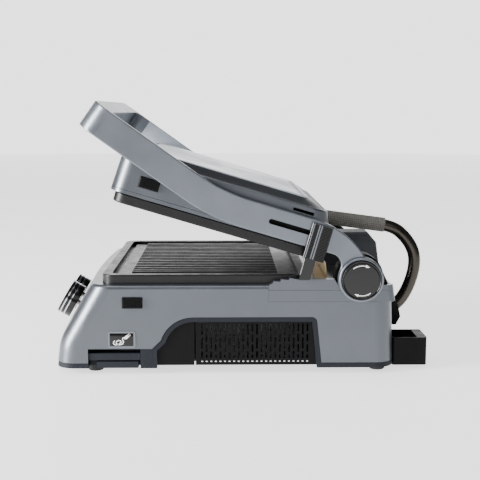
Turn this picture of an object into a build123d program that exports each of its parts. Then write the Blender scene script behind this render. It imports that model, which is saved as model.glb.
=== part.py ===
from build123d import *
import math
import os

# Panini press (contact grill), shown with the lid resting half open on its height stop.
# Millimetres, +Z up, -Y is the front with the knobs, +X the side with the height slider.
# Every outline below is drawn with the hinge line at Y = 0, and put() moves the finished
# pieces so that the origin is on the table under the middle of the whole press.

# ---- overall sizes ----
BODY_WIDTH = 315.0            # housing, side to side
HALF_X = BODY_WIDTH / 2
BODY_DEPTH = 386.0            # housing at its foot, front to rear
BODY_TOP_Z = 101.0            # deck the lower plate sits on
HINGE_Z = 108.5               # height of the hinge line
HINGE_Y = 135.7               # hinge line from the origin, towards the rear
REST_ANGLE = 16.5             # how far the lid stands open at rest

# ---- clearances ----
GAP = 0.3                     # between pieces that move past each other
RUN = 0.05                    # radial, shaft in bore

# ---- housing ----
BODY_REAR = 41.0              # rear wall, behind the hinge line
BODY_FRONT = BODY_REAR - BODY_DEPTH
BODY_LOW_Z = 13.0             # lower edge of the silver housing
WALL = 2.2
KNEE_Z = 37.0                 # where the upright front turns into the slope
KNEE_BACK = 4.0
FRONT_SLOPE = 60.0            # degrees from the table
REAR_DRAFT = 3.0
BOW_R = 2000.0                # the front bows forward in the middle
BOW_END_Y = -150.0            # behind this the sides are straight extrusions
BODY_CORNER_R = 22.0
KNEE_R = 46.0
TOP_EDGE_R = 4.5

# ---- base frame and feet ----
FRAME_LOW_Z = 7.0
PAN_THICK = 3.0
RIM_THICK = 2.0
RIM_UP = 9.0                  # how far the pan's rim stands up inside the housing
FOOT_R = 9.0
FOOT_X = HALF_X - 24.5
FOOT_FRONT_Y = BODY_FRONT + 48.0
FOOT_REAR_Y = 24.0

# ---- side arch with the vents ----
ARCH_FRONT_Y = BODY_FRONT + 113.6
ARCH_REAR_Y = -39.0
ARCH_TOP_Z = 65.0
ARCH_BAND = 5.5
ARCH_DEPTH = 6.0              # how far the dark arch moulding reaches inwards
VENT_FRONT_Y = ARCH_FRONT_Y + 48.8
VENT_REAR_Y = ARCH_REAR_Y - 8.0
VENT_THICK = 2.2
SLOT_PITCH = 5.13
SLOT_WIDE = 2.1
VENT_LOW_Z = 13.0              # lower ends of the slots
VENT_BOTTOM_Z = 10.0
ARCH_BACK = 32.0              # how far the floor pan stands back inside the arch
BAND_LAP = 1.0
CLIP_LONG = 7.0             # ---- cord store at the front of the side ----
STORE_FRONT_Y = BODY_FRONT + 42.2
STORE_TOP_Z = 29.2
STORE_BAR_LOW_Z = 16.3
STORE_BAR_TOP_Z = 24.0
STORE_DEEP = 16.0
ICON_Y = BODY_FRONT + 80.0
ICON_Z = 40.0
ICON_WIDE = 30.5
ICON_TALL = 18.8
ICON_THICK = 0.8
ICON_BORDER = 1.3

# ---- lower cooking plate ----
PLATE_X = BODY_WIDTH - 20.0
PLATE_Y = BODY_DEPTH - 154.2
PLATE_FRONT_Y = BODY_FRONT + 57.2
PLATE_TALL = 10.3
PLATE_CORNER_R = 14.0
PLATE_RIM = 10.6
PLATE_FLOOR = 3.2             # cooking floor under the rim's top
RIB_PITCH = 13.0
RIB_WIDE = 6.0
RIB_TOP_WIDE = 3.4
RIB_FRONT_IN = 31.8           # ribs start this far behind the plate's front
RIB_REAR_IN = 34.0
TUB_IN = 15.0
TUB_DEEP = 9.0
DRAIN_X = 112.0
PLATE_GAP = 1.5               # between the two plates with the lid right down
TAB_X = HALF_X - 12.5         # outer face of the catch tab under the plate's side
TAB_THICK = 2.0
TAB_LONG = 12.0
LEDGE_DEEP = 5.5
LEDGE_DROP = 8.0              # ledge top below the deck

# ---- heaters ----
HEATER_R = 3.2
REFLECTOR_THICK = 0.8
REFLECTOR_DEEP = 22.0
REFLECTOR_IN = 22.0
REFLECTOR_TOP_DROP = 1.5      # pan top below the deck

# ---- knobs ----
KNOB_R = 21.3
KNOB_DEEP = 17.0
KNOB_APART = 49.0
KNOB_UP = 21.5                # knob centre above the knee, along the slope
KNOB_OFF = 3.0
RING_WIDE = 1.3
SPINDLE_R = 3.0

# ---- release buttons ----
BUTTON_Y = BODY_FRONT + 92.2
BUTTON_LONG = 22.4
BUTTON_TALL = 12.0
BUTTON_OUT = 3.6
BUTTON_TRAVEL = 2.6
BUTTON_LOW_Z = 81.6
LATCH_END_X = HALF_X - 24.3
LID_BUTTON_IN = 1.0           # lid wall stands in from its widest at the button
SPRING_WIRE = 0.5

# ---- lid, drawn lying flat on the lower plate ----
LID_WIDTH = BODY_WIDTH - 12.0
LID_FRONT_Y = BODY_FRONT + 51.2
LID_REAR_Y = -35.6
LID_SIDE_TALL = 44.0
LID_RIM_TALL = 4.0
LID_FRONT_DRAFT = 2.0
LID_REAR_DRAFT = 18.0
LID_CORNER_R = 20.0
LID_WALL = 2.0
BAND_RISE = 8.0
BAND_IN = 24.0
TOP_PLATE_THICK = 1.4
PIN_Y = -182.0                # lid pivot on the arms, just in front of the lid's balance
PIN_UP = 36.0                 # above the hinge line
PIN_R = 4.0
FASCIA_SLOT_Y = -81.0
FASCIA_SLOT_UP = 53.0

# ---- arms and handle, drawn with the lid lying flat ----
ARM_OUT_X = HALF_X + 7.5
ARM_IN_X = HALF_X - 4.0
LINER_THICK = 2.0
LINER_INSET = 0.6             # liner stands in from the arm's outline
ARM_WIDE = 31.5
ARM_UP = 33.7                 # arm centre line above the hinge line
ARM_BEND_Y = BODY_FRONT + 170.0
ARM_FRONT_Y = BODY_FRONT + 5.5
ARM_BEND_R = 210.0            # both edges of the arm at its bend
ARM_RISE = 19.0               # degrees, front part of the arm
ARM_TOP_R = 97.0
HANDLE_DEEP = 23.0
HANDLE_CORNER_R = 22.0
GRIP_EDGE_R = 1.5
HUB_R = 25.0
HUB_IN_X = HALF_X + 0.7
SKIN = 2.5

# ---- hub buttons ----
HUB_RING_IN_R = 22.5
HUB_RING_OUT_R = 24.7
HUB_RING_OUT = 5.5
PRESS_R = 21.6
PRESS_OUT = 10.0
PRESS_TRAVEL = 3.0
AXLE_R = 5.0
AXLE_END_X = HALF_X + 5.5     # ---- height slider and its rail ----
SLIDER_Y = -58.0
SLIDER_LONG = 24.0
SLIDER_TOP_UP = 46.0
SLIDER_LOW_UP = 6.5
SLIDER_OUT = 6.0
SLIDER_TRAVEL = 51.0
SLOT_TALL = 5.6
STEM_LONG = 8.0
LEG_LONG = 10.0
LEG_OUT_X = HALF_X + 5.5
RAIL_FRONT_Y = -101.3
RAIL_SEAM_Z = 82.2
RAIL_STEP_Z = 107.4           # where the slider's foot stands
RAIL_STEP_FRONT_Y = -69.8
RAIL_STEP_REAR_Y = -28.2
RAIL_DEEP = 10.0

# ---- hinge brackets, tower and shield ----
BRACKET_IN_X = HALF_X - 27.5
BRACKET_OUT_X = HALF_X - 6.5
BRACKET_R = 27.0
TOWER_HALF_X = 18.0
TOWER_TOP_Z = 143.0
TOWER_REAR_Y = 42.6
SHIELD_Y = -34.0
SHIELD_TOP_Z = 121.0

# ---- conduit ----
INLET_R = 6.0
INLET_X = -90.0
INLET_Z = 34.0

TUBE_X = 60.0
TUBE_R = 7.3
TUBE_WALL = 1.0
SOCKET_LOW_Z = 38.0
SOCKET_TOP_Z = 64.0
SOCKET_WIDE = 30.0
SOCKET_DEEP = 20.0
SLEEVE_R = 8.6
SLEEVE_BORE_GAP = 0.3
# route of the conduit's centre line, rear of the hinge line and height, from the
# socket up round the hinge to the lid
TUBE_ROUTE = [
    (47.0, 52.5),
    (59.5, 61.5),
    (68.5, 74.0),
    (75.5, 91.0),
    (79.5, 109.5),
    (77.5, 126.5),
    (67.0, 143.0),
    (51.5, 155.6),
    (33.0, 158.1),
]
SLEEVE_REAR_Y = 41.5
SLEEVE_FRONT_Y = -44.0

# ---- grease cup ----
CUP_X = HALF_X - 44.0
CUP_WIDE = 43.0
CUP_DEEP = 40.0
CUP_LOW_Z = 4.0
CUP_TOP_Z = 36.0
CUP_WALL = 1.6
TONGUE_WIDE = 30.0
TONGUE_LONG = 20.0
TONGUE_LOW_Z = 24.0

SLOPE_RUN = (BODY_TOP_Z - KNEE_Z) / math.tan(math.radians(FRONT_SLOPE))
LID_LOW_Z = BODY_TOP_Z + 2 * PLATE_TALL + PLATE_GAP + 1.5
LID_TOP_Z = LID_LOW_Z + LID_SIDE_TALL
LID_HALF = LID_WIDTH / 2
PLATE_MID_Y = PLATE_FRONT_Y + PLATE_Y / 2
PLATE_TOP_Z = BODY_TOP_Z + PLATE_TALL
UPPER_FACE_Z = PLATE_TOP_Z + PLATE_GAP
ARM_Z = HINGE_Z + ARM_UP
ARM_LOW_Z = ARM_Z - ARM_WIDE / 2
ARM_TOP_Z = ARM_Z + ARM_WIDE / 2
CHANNEL_X = ARM_IN_X + LINER_THICK
FRAME_RIM_Z = BODY_LOW_Z + RIM_UP

os.makedirs("parts", exist_ok=True)


# ---- helpers ----
def box(x0, x1, y0, y1, z0, z1):
    middle = Pos((x0 + x1) / 2, (y0 + y1) / 2, (z0 + z1) / 2)
    return middle * Box(x1 - x0, y1 - y0, z1 - z0)


def rounded_box(x0, x1, y0, y1, z0, z1, radius):
    outline = RectangleRounded(x1 - x0, y1 - y0, radius)
    return Pos((x0 + x1) / 2, (y0 + y1) / 2, z0) * extrude(outline, z1 - z0)


def side_plate(face, x0, x1):
    """A flat outline drawn in (Y, Z), given thickness from x0 to x1."""
    return extrude(Plane.YZ.offset(x0) * face, x1 - x0)


def side_polygon(points, x0, x1):
    return side_plate(make_face(Polyline(*points, close=True)), x0, x1)


def rod_x(radius, x0, x1, y, z):
    return Pos(x0, y, z) * Rot(0, 90, 0) * Cylinder(
        radius, x1 - x0, align=(Align.CENTER, Align.CENTER, Align.MIN)
    )


def rod_z(radius, z0, z1, x, y):
    return Pos(x, y, z0) * Cylinder(
        radius, z1 - z0, align=(Align.CENTER, Align.CENTER, Align.MIN)
    )


def ring_x(outer, inner, x0, x1, y, z):
    return rod_x(outer, x0, x1, y, z) - rod_x(inner, x0 - 1, x1 + 1, y, z)


def flipped(shape):
    return mirror(shape, Plane.YZ)


def lying(shape):
    """The other way: from the rest angle to lying flat."""
    return shape.rotate(Axis((0, 0, HINGE_Z), (1, 0, 0)), REST_ANGLE)


def opened(shape):
    """Turns what is drawn lying flat up to the rest angle, about the hinge line."""
    return shape.rotate(Axis((0, 0, HINGE_Z), (1, 0, 0)), -REST_ANGLE)


def put(name, shape):
    """Writes one piece, or a group of separate pieces, as its own STEP file."""
    solids = [s.moved(Location((0, HINGE_Y, 0))) for s in shape.solids()]
    whole = solids[0] if len(solids) == 1 else Compound(children=solids)
    whole.label = name
    export_step(whole, "parts/" + name + ".step")


def group(*shapes):
    """Separate solids kept as one node."""
    return Compound(children=[solid for shape in shapes for solid in shape.solids()])


def coil_x(x0, x1, y, z, radius, wire, turns):
    """A coil spring along X whose ends are x0 and x1, wire thickness included."""
    length = x1 - x0 - 2 * wire
    helix = Helix(pitch=length / turns, height=length, radius=radius)
    start = Plane(origin=helix @ 0, z_dir=helix % 0)
    spring = sweep(start * Circle(wire), path=helix)
    return Pos(x0 + wire, y, z) * Rot(0, 90, 0) * spring


# ---- housing ----
def front_at(z):
    return BODY_FRONT + KNEE_BACK * (z - FRAME_LOW_Z) / (KNEE_Z - FRAME_LOW_Z)


def rear_at(z):
    return BODY_REAR - REAR_DRAFT * (z - FRAME_LOW_Z) / (BODY_TOP_Z - FRAME_LOW_Z)


def housing_block(inset, low_z):
    """The housing's outer form, drawn in by inset on every face."""
    slope = math.radians(FRONT_SLOPE)
    knee = BODY_FRONT + KNEE_BACK + inset
    top = BODY_TOP_Z - inset
    top_front = knee + SLOPE_RUN - inset / math.tan(slope) + inset / math.sin(slope) - inset
    half = HALF_X - inset
    nose = make_face(
        Polyline(
            (front_at(low_z) + inset, low_z),
            (knee, KNEE_Z),
            (top_front, top),
            (BOW_END_Y + 40, top),
            (BOW_END_Y + 40, low_z),
            close=True,
        )
    )
    centre = Axis((0, BODY_FRONT + BOW_R, 0), (0, 0, 1))
    turn = math.degrees(HALF_X / BOW_R) + 1
    bowed = revolve(Plane.YZ * nose, centre, 2 * turn).rotate(centre, -turn)
    bowed &= box(-half, half, BODY_FRONT - 50, BOW_END_Y, low_z - 1, top + 1)
    straight = side_polygon(
        [
            (BOW_END_Y, low_z),
            (BOW_END_Y, top),
            (rear_at(top) - inset, top),
            (rear_at(low_z) - inset, low_z),
        ],
        -half, half,
    )
    block = (bowed + straight).clean()
    knee_edges = block.edges().filter_by(
        lambda e: abs(e.center().Z - KNEE_Z) < 0.5 and abs(e.center().X) < 1 and e.center().Y < BOW_END_Y
    )
    block = fillet(knee_edges, KNEE_R)
    corners = block.edges().filter_by(
        lambda e: abs(abs(e.center().X) - half) < 0.01 and abs(e.center().Z - top) > 1
        and abs(e.center().Z - low_z) > 1
    )
    block = fillet(corners, BODY_CORNER_R - inset)
    rounding = TOP_EDGE_R - inset
    if rounding > 0.2:
        block = fillet(block.faces().sort_by(Axis.Z)[-1].outer_wire().edges(), rounding)
    return block


def arch_face():
    """The arch in the side: an S-shaped front shoulder, a level top, a steep rear end."""
    low = FRAME_LOW_Z - 20
    front_low = (ARCH_FRONT_Y, low)
    front = (ARCH_FRONT_Y, STORE_TOP_Z)
    shoulder = (ARCH_FRONT_Y + 10, ARCH_TOP_Z - 26)
    top_front = (ARCH_FRONT_Y + 46, ARCH_TOP_Z)
    top_rear = (ARCH_REAR_Y - 14, ARCH_TOP_Z)
    rear_top = (ARCH_REAR_Y - 8, ARCH_TOP_Z - 5)
    rear_low = (ARCH_REAR_Y, low)
    edges = [
        Line(front_low, front),
        Line(front, shoulder),
        TangentArc(top_front, shoulder, tangent=Vector(-1, 0)),
        Line(top_front, top_rear),
        TangentArc(top_rear, rear_top, tangent=Vector(1, 0)),
        Line(rear_top, rear_low),
        Line(rear_low, front_low),
    ]
    return make_face(edges)


def arch_block(inset, x0, x1):
    face = arch_face()
    if inset:
        face = offset(face, -inset, kind=Kind.INTERSECTION)
    return side_plate(face, x0, x1)


def store_block(grow, x0, x1):
    return box(x0, x1, STORE_FRONT_Y - grow, ARCH_FRONT_Y + grow, FRAME_LOW_Z - 4, STORE_TOP_Z + grow)


def slope_plane(up):
    """Plane on the sloping front, up along the slope from the knee."""
    slope = math.radians(FRONT_SLOPE)
    y = BODY_FRONT + KNEE_BACK + up * math.cos(slope)
    z = KNEE_Z + up * math.sin(slope)
    return Plane(origin=(0, y, z), x_dir=(1, 0, 0), z_dir=(0, -math.sin(slope), math.cos(slope)))


def on_slope(shape, x):
    return slope_plane(KNOB_UP) * Pos(x, 0, 0) * shape


def knob_places():
    return [-KNOB_APART / 2, KNOB_APART / 2]


def rod_on_slope(radius, low, high, x):
    rod = Pos(0, 0, low) * Cylinder(radius, high - low, align=(Align.CENTER, Align.CENTER, Align.MIN))
    return on_slope(rod, x)


def rail_pocket(grow):
    return box(
        HALF_X - RAIL_DEEP - grow, HALF_X + 5, RAIL_FRONT_Y - grow, BODY_REAR + 5,
        RAIL_SEAM_Z - grow, BODY_TOP_Z + 5,
    )


def housing_shell():
    shell = housing_block(0, BODY_LOW_Z) - housing_block(WALL, BODY_LOW_Z - 10)
    tub_half = PLATE_X / 2 - TUB_IN
    shell -= rounded_box(
        -tub_half - 2, tub_half + 2, PLATE_FRONT_Y + TUB_IN - 2,
        PLATE_FRONT_Y + PLATE_Y - TUB_IN + 2, BODY_TOP_Z - 10, BODY_TOP_Z + 10, PLATE_CORNER_R,
    )
    side = arch_block(0, HALF_X - 30, HALF_X + 5)
    store = store_block(0, HALF_X - 30, HALF_X + 5)
    button = box(
        HALF_X - 10, HALF_X + 5, BUTTON_Y - BUTTON_LONG / 2 - GAP, BUTTON_Y + BUTTON_LONG / 2 + GAP,
        BUTTON_LOW_Z - BUTTON_TALL / 2 - GAP, BUTTON_LOW_Z + BUTTON_TALL / 2 + GAP,
    )
    rail = rail_pocket(0)
    for cut in (side, store, rail):
        shell -= cut
        shell -= flipped(cut)
    shell -= button
    shell -= tab_opening(BODY_TOP_Z - 6, BODY_TOP_Z + 5)
    for x in knob_places():
        shell -= rod_on_slope(SPINDLE_R + RUN + 1.0, -8, 8, x)
    for x in (-8, 8):
        shell -= lamp_rod(2.5, -8, 8, x)
    wide = TONGUE_WIDE / 2 + 2 * GAP
    shell -= box(
        CUP_X - wide, CUP_X + wide, BODY_REAR - 10, BODY_REAR + 5,
        TONGUE_LOW_Z - 2 * GAP, CUP_TOP_Z,
    )
    shell -= box(
        TUBE_X - 9, TUBE_X + 9, BODY_REAR - 10, BODY_REAR + 5, SOCKET_LOW_Z + 5, SOCKET_TOP_Z - 5
    )
    shell -= inlet_rod(INLET_R, BODY_REAR - 10, BODY_REAR + 5)
    return shell


def tab_opening(low_z, high_z):
    """Opening for the plate's catch tab and the latch's nose."""
    y0 = BUTTON_Y - TAB_LONG / 2 - 1
    y1 = BUTTON_Y + TAB_LONG / 2 + 1
    return box(PLATE_X / 2 - TUB_IN - 2, TAB_X + 1, y0, y1, low_z, high_z)


# ---- cord inlet in the rear wall ----
def rod_y(radius, y0, y1, x, z):
    return Pos(x, y0, z) * Rot(-90, 0, 0) * Cylinder(
        radius, y1 - y0, align=(Align.CENTER, Align.CENTER, Align.MIN)
    )


def inlet_rod(radius, y0, y1):
    return rod_y(radius, y0, y1, INLET_X, INLET_Z)


def cord_inlet_bush():
    """Round rubber bush with a groove that grips the rear wall, and the cord's hole."""
    bush = inlet_rod(INLET_R + 3, BODY_REAR + 0.1, BODY_REAR + 5)
    bush += inlet_rod(INLET_R - 0.1, BODY_REAR - 6, BODY_REAR + 1)
    bush += inlet_rod(INLET_R + 2, BODY_REAR - 9, BODY_REAR - 4.2)
    bush -= inlet_rod(3.6, BODY_REAR - 20, BODY_REAR + 20)
    return bush


def lamp_rod(radius, low, high, x):
    rod = Pos(x, 0, low) * Cylinder(radius, high - low, align=(Align.CENTER, Align.CENTER, Align.MIN))
    return slope_plane(KNOB_UP + KNOB_R + 10) * rod


def indicator_lamps():
    lamps = [lamp_rod(2.4, -6, 0.8, x) + lamp_rod(3.6, -6, -WALL - 0.1, x) for x in (-8, 8)]
    return group(*lamps)


# ---- base frame ----
def base_frame():
    """Dark floor pan with a rim inside the housing, and the moulding round each arch."""
    skirt = housing_block(0.6, FRAME_LOW_Z) & box(-300, 300, -500, 300, FRAME_LOW_Z, BODY_LOW_Z - 0.2)
    hollow = housing_block(RIM_THICK + WALL + 0.8, FRAME_LOW_Z - 5)
    hollow &= box(-300, 300, -500, 300, FRAME_LOW_Z + PAN_THICK, 60)
    rim = housing_block(WALL + 0.3, FRAME_LOW_Z) & box(-300, 300, -500, 300, FRAME_LOW_Z, FRAME_RIM_Z)
    pan = (skirt + rim) - hollow
    side_cut = arch_block(BAND_LAP, HALF_X - ARCH_BACK, HALF_X + 5)
    store_cut = store_block(0, HALF_X - STORE_DEEP, HALF_X + 5)
    store_cut &= box(-300, 300, -500, 300, FRAME_LOW_Z + PAN_THICK, 200)
    for cut in (side_cut, store_cut):
        pan -= cut
        pan -= flipped(cut)
    notch = box(HALF_X - STORE_DEEP, HALF_X + 5, STORE_FRONT_Y, ARCH_FRONT_Y - 13, 0, 30)
    pan -= notch
    pan -= flipped(notch)
    arch = arch_block(0.15, HALF_X - ARCH_DEPTH, HALF_X - 0.6)
    arch -= arch_block(ARCH_BAND, HALF_X - 20, HALF_X + 5)
    foot_post = box(
        HALF_X - STORE_DEEP, HALF_X - 0.6, ARCH_FRONT_Y - 13, ARCH_FRONT_Y + 2,
        FRAME_LOW_Z, STORE_TOP_Z - 0.2,
    )
    foot_post &= store_block(0, 0, 300) + arch_block(0.15, 0, 300)
    side = (arch + foot_post) & box(0, 300, -500, 300, FRAME_LOW_Z, 200)
    pan += side
    pan += flipped(side)
    for y in (PLATE_FRONT_Y + 60, PLATE_FRONT_Y + PLATE_Y - 60):
        for x in (-90, 90):
            pan += rod_z(5, FRAME_LOW_Z, reflector_low(), x, y)
    for y in (FOOT_FRONT_Y, FOOT_REAR_Y):
        for x in (-FOOT_X, FOOT_X):
            pan -= rod_z(3.1, 0, 30, x, y)
            pan += rod_z(7, FRAME_LOW_Z, FRAME_LOW_Z + 8, x, y) - rod_z(3.1, 0, 30, x, y)
    return pan


def rubber_feet():
    feet = []
    for y in (FOOT_FRONT_Y, FOOT_REAR_Y):
        for x in (-FOOT_X, FOOT_X):
            pad = rod_z(FOOT_R, 0, FRAME_LOW_Z, x, y)
            pad = chamfer(pad.edges().sort_by(Axis.Z)[0:1], 1.2)
            peg = rod_z(3.0, FRAME_LOW_Z - 1, FRAME_LOW_Z + 9, x, y)
            feet.append((pad + peg).solid())
    return Compound(children=feet)


def base_screws():
    screws = []
    for y in (-250.0, -20.0):
        for x in (-100.0, 100.0):
            head = rod_z(4.0, FRAME_LOW_Z - 2.0, FRAME_LOW_Z, x, y)
            head -= box(x - 3, x + 3, y - 0.5, y + 0.5, FRAME_LOW_Z - 3, FRAME_LOW_Z - 1)
            head -= box(x - 0.5, x + 0.5, y - 3, y + 3, FRAME_LOW_Z - 3, FRAME_LOW_Z - 1)
            screws.append(head.solid())
    return Compound(children=screws)


def side_grille():
    """Vent panel in the arch: columns of three long and four short slots in turn."""
    panel = arch_block(ARCH_BAND + 0.2, HALF_X - 5.0, HALF_X - 5.0 + VENT_THICK)
    panel &= box(0, 300, VENT_FRONT_Y, ARCH_REAR_Y, VENT_BOTTOM_Z, 200)
    top = ARCH_TOP_Z - ARCH_BAND - 2.6
    tall = top - VENT_LOW_Z
    count = int((VENT_REAR_Y - VENT_FRONT_Y - 12) / SLOT_PITCH)
    slots = []
    for i in range(count):
        y = VENT_FRONT_Y + 7 + i * SLOT_PITCH
        rows = 3 if i % 2 == 0 else 4
        bridge = 3.2
        long = (tall - bridge * (rows - 1)) / rows
        for r in range(rows):
            low = VENT_LOW_Z + r * (long + bridge)
            slots.append(
                box(HALF_X - 12, HALF_X, y - SLOT_WIDE / 2, y + SLOT_WIDE / 2, low, low + long)
            )
    panel -= Compound(children=slots)
    for y in (VENT_FRONT_Y + 20.6, VENT_FRONT_Y + 97.6):
        panel += box(
            HALF_X - 5.0, HALF_X - 1.5, y - CLIP_LONG / 2, y + CLIP_LONG / 2, top - 2.6, top + 2.2
        )
    return panel


def arch_panel():
    """Smooth black panel in front of the grille, set back inside the arch moulding."""
    panel = arch_block(ARCH_BAND + 0.2, HALF_X - 5.0, HALF_X - 5.0 + VENT_THICK)
    return panel & box(0, 300, ARCH_FRONT_Y, VENT_FRONT_Y - 1.6, VENT_BOTTOM_Z, 200)


def cord_store():
    """Bar and lower lip of the cord store, held on a back wall inside the recess."""
    y0 = STORE_FRONT_Y + 0.4
    y1 = ARCH_FRONT_Y - 13.4
    back_x = HALF_X - STORE_DEEP + 0.3
    piece = box(back_x, back_x + 2.4, y0, y1, FRAME_LOW_Z + 0.4, STORE_TOP_Z - 0.4)
    piece += box(back_x, HALF_X - 1.2, y0, y1, STORE_BAR_LOW_Z, STORE_BAR_TOP_Z)
    piece += box(back_x, HALF_X - 0.8, y0 + 9, y1 - 2, FRAME_LOW_Z + 0.4, STORE_BAR_LOW_Z - 1.7)
    return piece


def cord_icon_plate():
    """Small framed plate over the cord store, with a raised border."""
    outline = RectangleRounded(ICON_WIDE, ICON_TALL, 2.5)
    window = RectangleRounded(ICON_WIDE - 2 * ICON_BORDER, ICON_TALL - 2 * ICON_BORDER, 1.4)
    plate = extrude(Plane.YZ.offset(HALF_X) * Pos(ICON_Y, ICON_Z) * outline, ICON_THICK)
    plate -= extrude(Plane.YZ.offset(HALF_X + 0.4) * Pos(ICON_Y, ICON_Z) * window, 2)
    return plate


# ---- cooking plates and heaters, drawn for the lower half ----
def grill_plate():
    """Cast plate: rim, sunk cooking floor, tapered ribs, rear ramp and drain."""
    half = PLATE_X / 2
    rear = PLATE_FRONT_Y + PLATE_Y
    plate = rounded_box(-half, half, PLATE_FRONT_Y, rear, BODY_TOP_Z + 0.2, PLATE_TOP_Z, PLATE_CORNER_R)
    plate = fillet(plate.faces().sort_by(Axis.Z)[-1].outer_wire().edges(), 1.6)
    tub = rounded_box(
        -half + TUB_IN, half - TUB_IN, PLATE_FRONT_Y + TUB_IN, rear - TUB_IN,
        BODY_TOP_Z - TUB_DEEP, BODY_TOP_Z + 0.3, PLATE_CORNER_R - 2,
    )
    plate += tub
    inner = half - PLATE_RIM
    floor_z = PLATE_TOP_Z - PLATE_FLOOR
    sunk = rounded_box(
        -inner, inner, PLATE_FRONT_Y + PLATE_RIM, rear - PLATE_RIM, floor_z, PLATE_TOP_Z + 5,
        PLATE_CORNER_R - 5,
    )
    gutter = rounded_box(
        -inner, inner, PLATE_FRONT_Y + PLATE_RIM, rear - PLATE_RIM, floor_z - 2.4, floor_z + 1,
        PLATE_CORNER_R - 5,
    )
    island = rounded_box(
        -inner + 5.5, inner - 5.5, PLATE_FRONT_Y + PLATE_RIM + 5.5, rear - PLATE_RIM - 5.5,
        floor_z - 4, floor_z + 2, PLATE_CORNER_R - 7,
    )
    plate -= sunk
    plate -= gutter - island
    under = rounded_box(
        -half + TUB_IN + 3, half - TUB_IN - 3, PLATE_FRONT_Y + TUB_IN + 3, rear - TUB_IN - 3,
        BODY_TOP_Z - TUB_DEEP - 1, BODY_TOP_Z + 1.0, PLATE_CORNER_R - 5,
    )
    plate -= under
    rib_front = PLATE_FRONT_Y + RIB_FRONT_IN
    rib_rear = rear - RIB_REAR_IN
    rib_face = make_face(
        Polyline(
            (-RIB_WIDE / 2, floor_z - 0.2),
            (RIB_WIDE / 2, floor_z - 0.2),
            (RIB_TOP_WIDE / 2, PLATE_TOP_Z - 0.6),
            (-RIB_TOP_WIDE / 2, PLATE_TOP_Z - 0.6),
            close=True,
        )
    )
    rib_plane = Plane(origin=(0, rib_front, 0), x_dir=(-1, 0, 0), z_dir=(0, 1, 0))
    rib = extrude(rib_plane * rib_face, rib_rear - rib_front)
    count = 2 * int((inner - 12) / RIB_PITCH) + 1
    for i in range(count):
        plate += Pos((i - count // 2) * RIB_PITCH, 0, 0) * rib
    plate += catch_tab()
    plate -= box(DRAIN_X - 8, DRAIN_X + 8, rear - PLATE_RIM - 4.6, rear - PLATE_RIM - 0.4, 60, 140)
    return plate


def catch_tab():
    """Hanging tab with an inward ledge that the latch's nose holds down."""
    y0 = BUTTON_Y - TAB_LONG / 2
    y1 = BUTTON_Y + TAB_LONG / 2
    ledge = BODY_TOP_Z - LEDGE_DROP
    tab = box(TAB_X - TAB_THICK, TAB_X, y0, y1, ledge - 2, BODY_TOP_Z + 0.5)
    return tab + box(TAB_X - LEDGE_DEEP, TAB_X, y0, y1, ledge - 2, ledge)


def reflector_low():
    return BODY_TOP_Z - REFLECTOR_TOP_DROP - REFLECTOR_DEEP


def heater_loop(half_x, y0, y1, z):
    """Tubular element: two long runs joined by a round bend, with both ends to one side."""
    inset = 34.0
    points = [
        (-half_x + inset, y0 + inset, z),
        (half_x - inset, y0 + inset, z),
        (half_x - inset, y1 - inset, z),
        (-half_x + inset, y1 - inset, z),
    ]
    path = FilletPolyline(*points, radius=24.0)
    start = Plane(origin=path @ 0, z_dir=path % 0)
    return sweep(start * Circle(HEATER_R), path=path)


def reflector_pan(half_x, y0, y1, top_z):
    edge = REFLECTOR_IN
    outer = rounded_box(
        -half_x + edge, half_x - edge, y0 + edge, y1 - edge, top_z - REFLECTOR_DEEP, top_z, 10
    )
    edge = REFLECTOR_IN + REFLECTOR_THICK
    inner = rounded_box(
        -half_x + edge, half_x - edge, y0 + edge, y1 - edge,
        top_z - REFLECTOR_DEEP + REFLECTOR_THICK, top_z + 1, 10 - REFLECTOR_THICK,
    )
    return outer - inner


def clip_blocks(half_x, y0, y1, pan_low, heater_low):
    """Ceramic posts that hold the element clear of its reflector."""
    blocks = []
    for x in (-half_x + 70, half_x - 70):
        for y in (y0 + 34, y1 - 34):
            block = box(x - 5, x + 5, y - 6, y + 6, pan_low, heater_low + HEATER_R)
            block -= Pos(x, y, heater_low + HEATER_R) * Rot(0, 90, 0) * Cylinder(HEATER_R + 0.02, 30)
            blocks.append(block.solid())
    return Compound(children=blocks)


# ---- knobs and thermostats ----
def knob_body():
    """Round skirt with two grooves for the bright rings and a raised grip bar."""
    skirt = Pos(0, 0, KNOB_OFF) * Cylinder(
        KNOB_R, KNOB_DEEP, align=(Align.CENTER, Align.CENTER, Align.MIN)
    )
    top = skirt.edges().sort_by(Axis.Z)[-1:]
    skirt = fillet(top, 1.4)
    for low in knob_ring_places():
        groove = Pos(0, 0, low) * Cylinder(
            KNOB_R + 1, RING_WIDE, align=(Align.CENTER, Align.CENTER, Align.MIN)
        )
        groove -= Pos(0, 0, low) * Cylinder(
            KNOB_R - 1.0, RING_WIDE, align=(Align.CENTER, Align.CENTER, Align.MIN)
        )
        skirt -= groove
    pointer = Pos(0, KNOB_R - 6, KNOB_OFF + KNOB_DEEP - 0.6) * Box(1.6, 9, 2)
    skirt -= pointer
    bore = Pos(0, 0, KNOB_OFF - 1) * Cylinder(
        SPINDLE_R + RUN, 12, align=(Align.CENTER, Align.CENTER, Align.MIN)
    )
    return skirt - bore


def knob_ring_places():
    return [KNOB_OFF + KNOB_DEEP * 0.42, KNOB_OFF + KNOB_DEEP * 0.72]


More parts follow.
